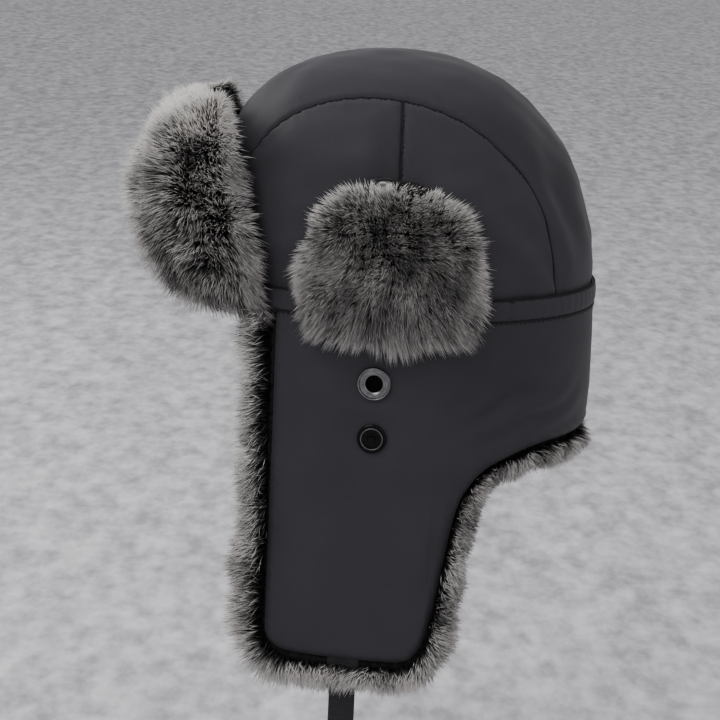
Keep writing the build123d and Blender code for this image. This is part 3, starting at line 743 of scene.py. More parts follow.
class HAT_OT_straps(HatOperator, bpy.types.Operator):
    """Ribbed chin straps that hang from the ear flaps"""

    bl_idname = "hat.straps"
    bl_label = "Chin straps"

    def execute(self, context):
        for side, sign in SIDES.items():
            path = spline_points(f"strap_line_{side}", strap_route(side)) / MM
            steps = np.linspace(0, 1, 140)
            share = np.linspace(0, 1, len(path))
            line = np.stack([np.interp(steps, share, path[:, k]) for k in range(3)], -1)
            out = unit(STRAP_OUT * np.array((1, sign, 1)))
            across = np.cross(out, np.array((0, 0, 1.0)))
            turn = np.linspace(0, 2 * math.pi, 28, endpoint=False)
            wide = np.sign(np.cos(turn)) * np.abs(np.cos(turn)) ** 0.35 * STRAP_WIDTH / 2
            thick = np.sign(np.sin(turn)) * np.abs(np.sin(turn)) ** 0.55 * STRAP_T / 2
            rib = 1 + 0.09 * np.sin(steps * 2 * math.pi * len(steps) / 3.5)
            points = (line[:, None] + wide[None, :, None] * across
                      + (thick[None, :] * rib[:, None])[..., None] * out)
            strap = tube_piece(f"strap_webbing_{side}", points, line)
            coat(strap, finish_of("ribbed_webbing"))
            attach(strap, f"ear_flap_{side}")
            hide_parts(f"chin_strap_{side}")
            for end in STRAP_ENDS[side]:
                coat(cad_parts[end], finish_of("moulded_plastic"))
            coat(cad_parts[f"strap_tab_{side}"], finish_of("ribbed_webbing"))
        return {"FINISHED"}


# --- Crown ---------------------------------------------------------------------------------------


def crown_relief(points, normals, sizes):
    """Move the crown's cloth: it stands between its seams, dips at them, puckers beside them and folds.

    The dip falls off with the square of the distance to the strip's edge and to the side seam; the folds
    run with the rim over the back of the head.
    """
    x, y, z = points[..., 0], points[..., 1], points[..., 2]
    to_strip = np.abs(np.abs(y) - strip_edge(np.clip(x, -112, 110)))
    to_side = np.where(np.abs(y) > strip_edge(np.clip(x, -112, 110)) - 1, np.abs(x - SIDE_SEAM_X), 99.0)
    flatness = np.clip(np.abs(normals[..., 2]), 0.35, 1.0)
    seam = np.minimum(to_strip / flatness, to_side)
    low = np.maximum(z - BAND_HEIGHT, 0)
    dip = np.exp(-((seam / 1.7) ** 2)) + 0.9 * np.exp(-((low / 2.6) ** 2))
    stand = 1 - np.exp(-((np.minimum(seam, low * 1.2) / 14.0) ** 2))
    pucker = np.sin((x + 0.6 * z) * 2 * math.pi / 8.5 + waves(points, 40, 5)) * np.exp(-seam / 7.0)
    rear = np.exp(-(((x - 72) / 26.0) ** 2)) * np.exp(-(((z - 62) / 42.0) ** 2))
    fold = np.sin((x * 0.92 + z * 0.42 + 5 * waves(points, 90, 8)) * 2 * math.pi / 21.0)
    soft = 0.9 * waves(points, 62, 3) + 0.35 * waves(points, 24, 4)
    move = (sizes.puff * stand - sizes.seam_depth * dip
            + sizes.fold_depth * (soft * stand + 1.7 * rear * fold) + 0.00045 * pucker)
    return points + normals * (move / MM)[..., None]


def seam_piece(name, line, out, radius=0.55, pitch=3.1):
    """Sewn seam on a line: a thin cord sunk in the groove and a row of small stitches beside it.

    A stitch is a long double pyramid: its points lie before, behind, beside, above and below its middle.
    """
    way = unit(np.gradient(line, axis=0))
    out = unit(out - way * (out * way).sum(-1, keepdims=True))
    side = np.cross(way, out)
    ring = np.linspace(0, 2 * math.pi, 6, endpoint=False)
    rings = (line[:, None] + radius * (np.cos(ring)[None, :, None] * out[:, None]
                                       + np.sin(ring)[None, :, None] * side[:, None]))
    tube = rings.reshape(-1, 3)
    cord = grid_faces(len(line), len(ring), wrap=True)[:, ::-1]
    hub = np.full(len(ring), len(tube))
    after = (np.arange(len(ring)) + 1) % len(ring)
    last = (len(line) - 1) * len(ring)
    caps = np.concatenate((np.stack((np.arange(len(ring)), after, hub), -1),
                           np.stack((last + after, last + np.arange(len(ring)), hub + 1), -1)))
    along = np.concatenate(((0,), np.cumsum(np.linalg.norm(np.diff(line, axis=0), axis=1))))
    spots = np.arange(pitch, along[-1] - pitch, pitch)
    middle, ahead, up, beside = (np.stack([np.interp(spots, along, part[:, k]) for k in range(3)], -1)
                                 for part in (line, way, out, side))
    middle = middle + up * 0.35 + beside * 1.1
    corners = np.stack((middle + ahead * 1.05, middle + beside * 0.32, middle - ahead * 1.05,
                        middle - beside * 0.32, middle + up * 0.3, middle - up * 0.3), 1)
    faces = np.array(((0, 1, 4), (1, 2, 4), (2, 3, 4), (3, 0, 4),
                      (1, 0, 5), (2, 1, 5), (3, 2, 5), (0, 3, 5)))
    first = len(tube) + 2
    stitches = (faces[None] + (first + 6 * np.arange(len(spots)))[:, None, None]).reshape(-1, 3)
    if (np.cross(ahead, beside) * up).sum() < 0:
        stitches = stitches[:, ::-1]
    points = np.concatenate((tube, line[:1], line[-1:], corners.reshape(-1, 3)))
    seam = make_piece(name, points, [cord, caps, stitches])
    coat(seam, finish_of("seam_thread"))
    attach(seam, "crown")


def strip_grid(rows=130, columns=50):
    """Grid of the strip over the top: pitch from front to back, roll from one seam to the other."""
    pitch = np.radians(np.linspace(4.2, 175.8, rows))
    edge = halved(np.zeros(rows), np.full(rows, math.radians(85)), lambda roll: (
        crown_ray(pitch, roll)[..., 1] < strip_edge(np.clip(crown_ray(pitch, roll)[..., 0], -124, 114))))
    share = np.sin(np.linspace(-1, 1, columns) * math.pi / 2 * 0.96) / math.sin(math.pi / 2 * 0.96)
    return crown_ray(pitch[:, None] + 0 * share, edge[:, None] * share)


def side_grid(end, sign, rows=62, columns=76):
    """Grid of a side panel: planes across X from the strip's end to the side seam, up to the strip."""
    low = BAND_HEIGHT - 2.5
    corner_pitch = np.radians(5.0 if end < 0 else 175.0)
    edge = halved(0.0, math.radians(85), lambda roll: (
        crown_ray(corner_pitch, roll)[..., 1] < strip_edge(crown_ray(corner_pitch, roll)[..., 0])))
    far_x = float(crown_ray(corner_pitch, edge)[0])
    turn = np.linspace(0, math.pi / 2, columns)
    x = far_x + (SIDE_SEAM_X - far_x) * (1 - np.cos(turn))
    top = halved(np.full(columns, low), np.full(columns, HEIGHT - 1),
                 lambda z: crown_side(x, z) > strip_edge(x))
    z = low + (np.maximum(top, low + 0.3) - low) * np.linspace(0, 1, rows)[:, None]
    x = np.broadcast_to(x, z.shape)
    return np.stack((x, sign * np.maximum(crown_side(x, z), strip_edge(x)), z), -1)


class HAT_OT_crown(HatOperator, bpy.types.Operator):
    """Padded nylon panels of the crown, pulled in at their seams"""

    bl_idname = "hat.crown"
    bl_label = "Crown panels"

    def execute(self, context):
        sizes = context.scene.hat_sizes
        panels = [("crown_top_strip", strip_grid(), ("crown_centre_panel",))]
        for side, sign in SIDES.items():
            panels += [(f"crown_panel_{name}_{side}", side_grid(end, sign), (f"crown_side_{name}_{side}",))
                       for end, name in ((-1, "front"), (1, "rear"))]
        for name, grid, nodes in panels:
            out = grid_normals(grid, CROWN_HEART)
            grid = crown_relief(grid, out, sizes)
            panel = sheet_piece(name, grid, CROWN_HEART)
            coat(panel, finish_of("nylon_cloth"))
            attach(panel, "crown")
            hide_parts(*nodes)
            lines = {}
            if name == "crown_top_strip":
                lines = {"strip_seam_left": 0, "strip_seam_right": -1}
            elif "front" in name:
                lines = {name.replace("crown_panel_front", "side_seam"): -1}
            for seam, column in lines.items():
                seam_piece(seam, grid[:, column] + out[:, column] * 0.15, out[:, column])
        turn = np.linspace(0, 2 * math.pi, 700)
        for seam, level, proud in (("band_seam_upper", BAND_HEIGHT + 0.3, 0.1),
                                   ("band_seam_lower", -0.7, 0.2)):
            line = np.stack((CENTRE_X + (HALF_LENGTH + proud) * np.cos(turn),
                             (HALF_WIDTH + proud) * np.sin(turn), level + 0 * turn), -1)
            seam_piece(seam, line, np.stack((np.cos(turn), np.sin(turn), 0 * turn), -1))
        return {"FINISHED"}


class HAT_OT_band(HatOperator, bpy.types.Operator):
    """Narrow folded band sewn round the bottom of the crown"""

    bl_idname = "hat.band"
    bl_label = "Sewn band"

    def execute(self, context):
        around = np.linspace(0, 2 * math.pi, 420, endpoint=False)[:, None]
        profile = np.linspace(0, 2 * math.pi, 20, endpoint=False)[None, :]
        up = BAND_HEIGHT / 2 - (BAND_HEIGHT / 2 + 0.5) * np.cos(profile)
        bulge = 1.6 * np.abs(np.sin(profile)) ** 0.7 * np.sign(np.sin(profile)) - 0.5
        pucker = 0.16 * np.sin(around * 96 + 1.5 * np.sin(around * 5)) * np.sin(profile)
        seam = -0.9 * np.exp(-(((around - math.radians(302)) / 0.012) ** 2)) * (np.sin(profile) > 0)
        out = bulge + pucker + seam
        points = np.stack((CENTRE_X + (HALF_LENGTH + out) * np.cos(around),
                           (HALF_WIDTH + out) * np.sin(around), up + 0 * around), -1)
        faces = grid_faces(len(around), profile.size, wrap=True)
        ring = np.arange(profile.size)
        after = (ring + 1) % profile.size
        last = (len(around) - 1) * profile.size
        join = np.stack((last + ring, last + after, after, ring), -1)
        faces = np.concatenate((faces, join))
        flat = points.reshape(-1, 3)
        inner = np.stack((CENTRE_X + HALF_LENGTH * np.cos(around[:, 0]),
                          HALF_WIDTH * np.sin(around[:, 0]), 0 * around[:, 0] + BAND_HEIGHT / 2), -1)
        home = inner[faces[:, 0] // profile.size]
        cross = np.cross(flat[faces[:, 2]] - flat[faces[:, 0]], flat[faces[:, 3]] - flat[faces[:, 1]])
        if (cross * (flat[faces].mean(1) - home)).sum() < 0:
            faces = faces[:, ::-1]
        band = make_piece("sewn_band", flat, [faces])
        coat(band, finish_of("nylon_cloth"))
        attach(band, "crown")
        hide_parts("crown_band")
        return {"FINISHED"}


class HAT_OT_lining(HatOperator, bpy.types.Operator):
    """Quilted satin dome inside the crown"""

    bl_idname = "hat.lining"
    bl_label = "Quilted lining"

    def execute(self, context):
        around = np.linspace(0, 2 * math.pi, 180, endpoint=False)[None, :]
        rise = np.linspace(0, 1, 80)[:, None]
        height = HEIGHT - QUILT_INSET
        turn = rise * math.radians(89.7)
        share = np.cos(turn) ** (2 / FULLNESS)
        z = height * np.sin(turn) ** (2 / FULLNESS)
        middle = CENTRE_X - LEAN * z / HEIGHT
        points = np.stack((middle + (HALF_LENGTH - QUILT_INSET) * share * np.cos(around),
                           (HALF_WIDTH - QUILT_INSET) * share * np.sin(around), z + 0 * around), -1)
        pitch = 26.0
        one = np.sin((points[..., 0] + points[..., 2]) * math.pi / pitch)
        two = np.sin((points[..., 0] - points[..., 2]) * math.pi / pitch)
        swell = np.sqrt(np.abs(one * two))
        points = points + grid_normals(points, CROWN_HEART) * (0.4 + 1.7 * (1 - swell))[..., None]
        lining = sheet_piece("crown_quilted_lining", points, CROWN_HEART, thick=1.0, wrap=True)
        top = points[-1]
        lid = np.concatenate((top, top.mean(0, keepdims=True)))
        ring = np.arange(len(top))
        fan = np.stack((ring, (ring + 1) % len(top), np.full(len(top), len(top))), -1)
        cap = make_piece("crown_quilt_button", lid + np.array((0, 0, -0.2)), [fan])
        solid = cap.modifiers.new("Thickness", "SOLIDIFY")
        solid.thickness = 1.0 * MM
        for piece in (lining, cap):
            coat(piece, finish_of("quilted_satin"))
            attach(piece, "crown")
        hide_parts("crown_lining", "crown_wadding")
        return {"FINISHED"}


# --- Skirt ---------------------------------------------------------------------------------------


def flap_circle():
    """Middle and radius of the circle that the ear flap's plan lies on."""
    chord = FLAP_REAR - FLAP_FRONT
    length = np.linalg.norm(chord)
    radius = ((length / 2) ** 2 + FLAP_SAG**2) / (2 * FLAP_SAG)
    out = np.array((-chord[1], chord[0])) / length
    return (FLAP_FRONT + FLAP_REAR) / 2 + out * (FLAP_SAG - radius), radius


def skirt_point(turn, z, inset):
    """Point of the skirt: the crown's ellipse above the fold passes smoothly to the flap's arc below."""
    x = CENTRE_X + (HALF_LENGTH - inset) * np.cos(turn)
    y = (HALF_WIDTH - inset) * np.sin(turn)
    middle, radius = flap_circle()
    arc = middle[1] + np.sqrt(np.maximum((radius - inset) ** 2 - (x - middle[0]) ** 2, 0))
    share = 1 - smooth(FOLD_Z - 26, FOLD_Z + 16, z)
    share = share * (1 - smooth(52, 70, x))
    return np.stack((x, y * (1 - share) + arc * share, z + 0 * x), -1)


def skirt_edge(count=700):
    """Lower edge of the skirt from its front corner to the centre back, evenly spaced along itself.

    Gives the turn round the ellipse, the height, the distance along and the slope of the edge.
    """
    lengths = np.array(EDGE_REAR) + np.array((0, FLAP_BOTTOM_Z))
    fine = np.linspace(0, len(lengths) - 1, 400)
    low = np.clip(np.floor(fine).astype(int), 0, len(lengths) - 2)
    t = (fine - low)[:, None]
    pads = np.concatenate((lengths[:1] - (lengths[1:2] - lengths[:1]), lengths,
                           lengths[-1:] + (lengths[-1:] - lengths[-2:-1])))
    a, b, c, d = (pads[low + k] for k in range(4))
    rear = 0.5 * (2 * b + (c - a) * t + (2 * a - 5 * b + 4 * c - d) * t**2 + (3 * b - a - 3 * c + d) * t**3)
    corner = np.linspace(0, math.pi / 2, 40)
    front = np.stack((SKIRT_FRONT_X + CORNER_R * (1 - np.cos(corner)),
                      FLAP_BOTTOM_Z + CORNER_R * (1 - np.sin(corner))), -1)
    outline = np.concatenate((front, rear))
    turn = np.linspace(math.acos((SKIRT_FRONT_X - CENTRE_X) / HALF_LENGTH), 0, 3000)
    x = CENTRE_X + HALF_LENGTH * np.cos(turn)
    z = np.interp(x, outline[:, 0], outline[:, 1])
    plan = skirt_point(turn, z, 0.0)[:, :2]
    across = np.concatenate(((0,), np.cumsum(np.linalg.norm(np.diff(plan, axis=0), axis=1))))
    along = np.concatenate(((0,), np.cumsum(np.hypot(np.diff(across), np.diff(z)))))
    even = np.linspace(0, along[-1], count)
    turn, z, across = (np.interp(even, along, values) for values in (turn, z, across))
    return turn, z, even, across, np.gradient(z, across)


def skirt_grid(rows, columns, top_z):
    """Columns down from the band to the lower edge: turn, height and distance to the nearest edge."""
    turn, edge_z, _, across, slope = skirt_edge(columns)
    share = np.linspace(0, 1, rows)[:, None]
    z = top_z + (edge_z[None, :] - top_z) * share
    to_low = (z - edge_z[None, :]) / np.sqrt(1 + slope[None, :] ** 2)
    to_front = np.broadcast_to(across[None, :], z.shape)
    return np.broadcast_to(turn, z.shape), z, np.minimum(to_low, to_front)


def skirt_relief(points, normals, to_edge, sizes):
    """Soft drape of the skirt: broad folds, small creases below the ear and puckers along the hem."""
    x, z = points[..., 0], points[..., 2]
    inner = smooth(2, 26, to_edge) * smooth(0, 22, -z)
    broad = 1.1 * waves(points, 95, 21) + 0.5 * waves(points * np.array((1.0, 1.0, 0.45)), 30, 22)
    crease = np.exp(-(((x - 62) / 24.0) ** 2) - ((z + 52) / 20.0) ** 2)
    slant = np.sin((z * 0.9 - x * 0.55 + 4 * waves(points, 60, 23)) * 2 * math.pi / 17.0)
    pucker = np.sin(x * 2 * math.pi / 9.0 + z * 2 * math.pi / 8.0 + 2 * waves(points, 30, 24))
    hem = np.exp(-((to_edge - 5) / 5.0) ** 2) + 0.7 * np.exp(-((z + 3) / 5.0) ** 2)
    move = (sizes.puff * 0.6 * inner + sizes.fold_depth * (broad * inner + 1.2 * crease * slant)
            + 0.0002 * pucker * hem)
    near = np.minimum(np.hypot(x - EYELET[0], z - EYELET[1]), np.hypot(x - SNAP[0], z - SNAP[1]))
    free = smooth(9.0, 24.0, near)
    return points + normals * (move / MM * free - 0.35 * (1 - free))[..., None]


def beside_hardware(middles):
    """Faces outside the punched hole of the eyelet."""
    flat = np.hypot(middles[:, 0] - EYELET[0], middles[:, 2] - EYELET[1])
    return flat > 6.6


class HAT_OT_skirt(HatOperator, bpy.types.Operator):
    """Nylon skirt of each side: wrap, ear flap and half of the neck in one padded piece"""

    bl_idname = "hat.skirt"
    bl_label = "Skirt"

    def execute(self, context):
        sizes = context.scene.hat_sizes
        turn, z, to_edge = skirt_grid(92, 210, 1.0)
        roll = 6.6
        inset = roll * (1 - np.sqrt(1 - (1 - np.clip(to_edge / roll, 0, 1)) ** 2))
        for side, sign in SIDES.items():
            grid = skirt_point(turn, z, 0.0)
            normals = grid_normals(grid, SKIRT_HEART)
            grid = grid - normals * inset[..., None]
            grid = skirt_relief(grid, normals, to_edge, sizes) * np.array((1, sign, 1))
            skirt = sheet_piece(f"skirt_nylon_{side}", grid, SKIRT_HEART,
                                keep=beside_hardware)
            coat(skirt, finish_of("nylon_cloth"))
            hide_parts(f"wrap_shell_{side}", f"wrap_wadding_{side}", f"ear_flap_shell_{side}",
                        f"ear_flap_wadding_{side}")
            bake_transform(skirt)
        return {"FINISHED"}


# --- Fur of the skirt ----------------------------------------------------------------------------


def skirt_frame(turn, z, inset):
    """Points of the skirt at an inset, with the outward normal, the way round and the way up."""
    here = skirt_point(turn, z, inset)
    round_way = unit(skirt_point(turn - 0.004, z, inset) - here)
    up_way = unit(skirt_point(turn, z + 0.4, inset) - here)
    out = unit(np.cross(round_way, up_way))
    out = out * np.sign((out * (here - SKIRT_HEART * np.array((1, 1, 0))
                                - here * np.array((0, 0, 1))))[..., :2].sum(-1))[..., None]
    return here, out, round_way, up_way


def trim_line(place):
    """Line of the fur roll along the skirt's edge, by the distance along it from the band.

    Gives its middle, the way off the edge, the outward normal, the roll's radius and the hairs' reach.
    """
    turn, z, along, _, slope = skirt_edge()
    front = -z[0]
    total = front + along[-1]
    run = np.maximum(place - front, 0)
    on_front = place < front
    at_turn = np.where(on_front, turn[0], np.interp(run, along, turn))
    at_z = np.where(on_front, -place, np.interp(run, along, z))
    steep = np.interp(run, along, slope)
    here, out, round_way, up_way = skirt_frame(at_turn, at_z, LINING_INSET + 2.0)
    level = 1 / np.sqrt(1 + steep**2)
    away = round_way * (steep * level)[:, None] - up_way * level[:, None]
    turned = smooth(front - 16, front + 10, place)[:, None]
    away = unit(-round_way * (1 - turned) + away * turned)
    marks = (0, front, front + 25, front + 110, front + 150, total - 120, total)
    radius = np.interp(place, marks, (6.6, 6.6, 6.0, 5.6, 5.0, 4.2, 4.2))
    reach = np.interp(place, marks, (18.0, 18.0, 12.5, 11.5, 12.0, 9.5, 9.5))
    splay = np.array((-0.55, 0.0, 0.0)) * (1 - turned)
    return here + away * (radius * 0.3)[:, None], unit(away + splay), out, radius, reach, total


def trim_hairs(count, seed):
    """Roots on the roll and aims that fan round it, mostly off the edge."""
    rng = np.random.default_rng(seed)
    total = trim_line(np.zeros(1))[-1]
    place = rng.uniform(0, total, count)
    middle, away, out, radius, reach, _ = trim_line(place)
    fan = np.radians(rng.uniform(-88, 128, count))
    ray = away * np.cos(fan)[:, None] - out * np.sin(fan)[:, None]
    aims = ray + away * 0.45 + rng.normal(0, 0.27, (count, 3))
    return rng, middle + ray * (radius * 0.9)[:, None], unit(aims), reach, out, away, place


def lining_hairs(count, seed):
    """Roots and aims of the pile inside the skirt, which stands inwards and leans down."""
    rng = np.random.default_rng(seed)
    turn, z, _, across, _ = skirt_edge()
    pick = np.interp(rng.uniform(0, across[-1], count), across, np.arange(len(across)))
    hair_turn = np.interp(pick, np.arange(len(turn)), turn)
    low = np.interp(pick, np.arange(len(turn)), z)
    hair_z = rng.uniform(0, 1, count) * (low + 2) - 1
    hair_z = np.maximum(hair_z, low + 1)
    return rng, hair_turn, hair_z


class HAT_OT_skirt_fur(HatOperator, bpy.types.Operator):
    """Fur lining of the wrap and ear flaps, with its fringe past their edges"""

    bl_idname = "hat.skirt_fur"
    bl_label = "Skirt fur"

    def execute(self, context):
        width = context.scene.hat_sizes.hair_width / MM
        for side, sign in SIDES.items():
            mirror = np.array((1, sign, 1))
            turn, z, to_edge = skirt_grid(50, 120, -1.0)
            grid = skirt_point(turn, z, LINING_INSET + 2.5 * (1 - smooth(0, 12, to_edge)))
            skin = sheet_piece(f"lining_skin_{side}", grid * mirror, SKIRT_HEART, thick=1.2)
            coat(skin, finish_of("fur_skin"))
            pieces = [skin]
            place = np.linspace(0, trim_line(np.zeros(1))[-1], 260)
            middle, away, out, radius, _, _ = trim_line(place)
            ring = np.linspace(0, 2 * math.pi, 12, endpoint=False)
            spokes = np.cos(ring)[None, :, None] * away[:, None] + np.sin(ring)[None, :, None] * out[:, None]
            roll = middle[:, None] + radius[:, None, None] * spokes
            pieces.append(coat(tube_piece(f"trim_roll_{side}", roll * mirror, middle * mirror),
                               finish_of("fur_skin")))
            for part, count, wide, scale, curved, finish in (
                    ("trim_guard_one", 25000, 1.0, 1.0, True, "guard_hair"),
                    ("trim_guard_two", 17000, 1.15, 1.08, True, "guard_hair"),
                    ("trim_under", 11500, 2.7, 0.62, False, "underfur")):
                rng, roots, aims, reach, out, away, place = trim_hairs(count, 40 + count % 7)
                flat = np.stack((place, roots[:, 1] * 2 + roots[:, 0] * 0.5), -1)
                draw = clumped(flat, 5.5, 0.6, 3.0)
                tuft = np.cross(away, out) * draw[:, :1] + out * (draw[:, 1:] * 0.3)
                wander = np.stack([waves(roots, 26, 50 + k) for k in range(3)], -1)
                bend = tuft + wander * 3.0 + rng.normal(0, 0.9, (count, 3)) + np.array((0, 0, -1.2))
                # Tone of each lock: paler towards the flap's bottom edge, mottled, with a random spread.
                low = smooth(FLAP_BOTTOM_Z + 40, FLAP_BOTTOM_Z, roots[:, 2])
                trim_tones = 0.55 + 0.32 * low + 0.34 * waves(roots, 15, 61) + rng.normal(0, 0.24, count)
                lengths = reach * scale * rng.uniform(0.8, 1.08, count)
                widths = width * wide * rng.uniform(0.7, 1.25, count)
                neck = roots[:, 0] > NECK_FROM_X
                for zone, at in (("flap", ~neck), ("neck", neck)):
                    hairs = hair_piece(f"{part}_{zone}_{side}", roots[at] * mirror, aims[at] * mirror,
                                       lengths[at], widths[at], trim_tones[at], bend[at] * mirror, 71, curved)
                    coat(hairs, finish_of(finish))
                    if zone == "neck":
                        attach(hairs, "crown")
                    else:
                        pieces.append(hairs)
            for part, count, wide, reach, curved, finish in (
                    ("lining_guard", 9500, 2.2, 11.5, True, "guard_hair"),
                    ("lining_under", 8500, 4.4, 8.5, False, "underfur")):
                rng, hair_turn, hair_z = lining_hairs(count, 80 + count % 7)
                here, out, _, up_way = skirt_frame(hair_turn, hair_z, LINING_INSET + 1)
                aims = -out + up_way * -0.55 + rng.normal(0, 0.28, (count, 3))
                wander = np.stack([waves(here, 30, 90 + k) for k in range(3)], -1)
                tones = 0.5 + 0.3 * waves(here, 20, 93) + rng.normal(0, 0.2, count)
                pieces.append(coat(hair_piece(f"{part}_{side}", here * mirror, aims * mirror,
                                              reach * rng.uniform(0.75, 1.1, count),
                                              width * wide * rng.uniform(0.7, 1.25, count), tones,
                                              (wander * 2.0 + rng.normal(0, 0.9, (count, 3))) * mirror, 95,
                                              curved), finish_of(finish)))
            for piece in pieces:
                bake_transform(piece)
            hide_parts(f"wrap_fur_{side}", f"ear_flap_fur_{side}")
        return {"FINISHED"}


# --- Visor ---------------------------------------------------------------------------------------


def visor_half_turn(z):
    """Half the turn that the visor spans at a height, held in by its slanted edge and round corners."""
    length = np.interp(z, VISOR_LEVELS[:, 0], VISOR_LEVELS[:, 1])
    width = np.interp(z, VISOR_LEVELS[:, 0], VISOR_LEVELS[:, 2])
    edge_x = np.interp(z, *zip(*VISOR_EDGE))
    by_edge = np.arccos(np.clip((CENTRE_X - edge_x) / length, -1, 1))
    from_corner = np.clip(z - (VISOR_EDGE[1][0] - VISOR_CORNER_R), 0, VISOR_CORNER_R)
    y = VISOR_HALF_WIDTH - VISOR_CORNER_R + np.sqrt(VISOR_CORNER_R**2 - from_corner**2)
    return np.minimum(by_edge, np.arcsin(np.clip(y / width, 0, 1)))


def visor_point(share, z, out):
    """Point of the visor's front: share is -1 to 1 across it, out the distance before its cloth."""
    fits = [np.polynomial.Polynomial.fit(VISOR_LEVELS[:, 0], VISOR_LEVELS[:, k], 3) for k in (1, 2)]
    turn = share * visor_half_turn(z)
    return np.stack((CENTRE_X - (fits[0](z) + VISOR_T + out) * np.cos(turn),
                     (fits[1](z) + VISOR_T + out) * np.sin(turn), z + 0 * turn), -1)


def visor_swell(share, z):
    """How far the stuffed visor stands out before its cloth, less towards its edges."""
    rise = np.clip((z - 2) / 106.0, 0, 1)
    return 12.0 * np.clip(1 - share**2, 0, 1) ** 0.5 * np.clip(np.sin(rise * math.pi), 0, 1) ** 0.45 - 2.0


def visor_hairs(count, seed):
    """Roots and aims of the visor's fur: off its face, and round its rim sideways and upwards."""
    rng = np.random.default_rng(seed)
    share = rng.uniform(-1, 1, count)
    z = rng.uniform(1.0, 107.0, count)
    kind = rng.uniform(0, 1, count)
    share = np.where(kind < 0.24, np.sign(share) * (1 - 0.05 * np.abs(share)), share)
    z = np.where((kind >= 0.24) & (kind < 0.34), 106.0 - 3.0 * (z / 107.0), z)
    roots = visor_point(share, z, visor_swell(share, z))
    base = np.minimum(z, 106.0)
    sideways = unit(visor_point(share + 0.01, z, 0.0) - visor_point(share - 0.01, z, 0.0))
    upward = unit(visor_point(share, base + 1, 0.0) - visor_point(share, base - 1, 0.0))
    out = unit(np.cross(upward, sideways))
    out = out * np.sign(-out[:, :1])
    high = (z - 55) / 53.0
    side_lean = np.sign(share) * (np.abs(share) ** 2.2 * 1.3
                                  + np.abs(share) ** 20 * rng.uniform(0, 2.4, count))
    up_lean = np.sign(high) * (np.abs(high) ** 2.2 + np.abs(high) ** 16 * rng.uniform(0, 1.2, count))
    facing = 1.0 - np.maximum(np.abs(share) ** 24, np.abs(high) ** 24) * rng.uniform(0.4, 2.1, count)
    aims = out * facing[:, None] + sideways * side_lean[:, None] + upward * up_lean[:, None]
    edge = np.maximum(np.abs(share) ** 3, np.abs(high) ** 3)
    return rng, roots, unit(aims), share, z, edge, sideways, upward


class HAT_OT_visor(HatOperator, bpy.types.Operator):
    """Visor turned up in front: nylon back, stuffed fur face"""

    bl_idname = "hat.visor"
    bl_label = "Visor"

    def execute(self, context):
        sizes = context.scene.hat_sizes
        share, z = np.meshgrid(np.linspace(-1, 1, 64), np.linspace(2, 108, 48))
        points = visor_point(share, z, visor_swell(share, z))
        face = sheet_piece("visor_fur_skin", points, np.array((0.0, 0, 50.0)), thick=3.0)
        coat(face, finish_of("fur_skin"))
        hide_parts("visor_fur", "visor_wadding")
        pieces = [face]
        for part, count, wide, scale, curved, finish in (
                ("visor_guard", 32000, 1.0, 1.0, True, "guard_hair"),
                ("visor_under", 21000, 2.6, 0.66, False, "underfur")):
            rng, roots, aims, at, z, edge, sideways, upward = visor_hairs(count, 110 + count % 7)
            draw = clumped(np.stack((at * 90, z), -1), 6.0, 0.42, 5.0)
            tuft = sideways * draw[:, :1] + upward * draw[:, 1:]
            wander = np.stack([waves(roots, 34, 120 + k) for k in range(3)], -1)
            bend = tuft + wander * 3.4 + rng.normal(0, 1.3, (count, 3)) + np.array((0, 0, -1.0))
            lengths = (sizes.fur_length / MM * scale * rng.uniform(0.8, 1.1, count)
                       * (1 - 0.5 * smooth(84, 108, z)))
            # Painted rim light: locks paler at the visor's front middle, at its top and towards its edges,
            # where its outline is back-lit; darker towards its foot.
            painted_rim_glow_and_dark_foot = (0.5 * np.exp(-((at / 0.42) ** 2)) + 0.6 * smooth(76, 104, z)
                     - 0.22 * (1 - smooth(10, 50, z)))
            tones = 0.24 + 0.26 * waves(roots, 22, 131) + 0.42 * edge + painted_rim_glow_and_dark_foot + rng.normal(0, 0.26, count)
            widths = sizes.hair_width / MM * wide * rng.uniform(0.7, 1.2, count)
            hairs = hair_piece(part, roots, aims, lengths, widths, tones, bend, 133, curved)
            pieces.append(coat(hairs, finish_of(finish)))
        for piece in pieces:
            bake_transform(piece)
        coat(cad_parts["visor_shell"], finish_of("nylon_cloth"))
        return {"FINISHED"}


# --- Ear covers ----------------------------------------------------------------------------------


def cover_place(x, up, out, sign):
    """Point of an ear cover: place along X, height up its leaning plate and distance out from its face."""
    across = (x - CENTRE_X) / (HALF_LENGTH + COVER_OUTSET)
    ring = (HALF_WIDTH + COVER_OUTSET) * np.sqrt(1 - across**2) - (HALF_WIDTH + COVER_OUTSET)
    level = ring + out
    y = COVER_HINGE[0] + level * math.cos(COVER_LEAN) - up * math.sin(COVER_LEAN)
    z = COVER_HINGE[1] + level * math.sin(COVER_LEAN) + up * math.cos(COVER_LEAN)
    return np.stack((x + 0 * y, sign * y, z), -1)


def cover_top(x, spread=0.0):
    """Height of the cover's domed top over a place along X."""
    share = np.clip(np.abs(x - COVER_MIDDLE[0]) / (COVER_HALF + spread), 0, 1)
    return COVER_SIDE_TOP + (COVER_TOP + spread - COVER_SIDE_TOP) * (1 - share**2.3) ** (1 / 2.0)


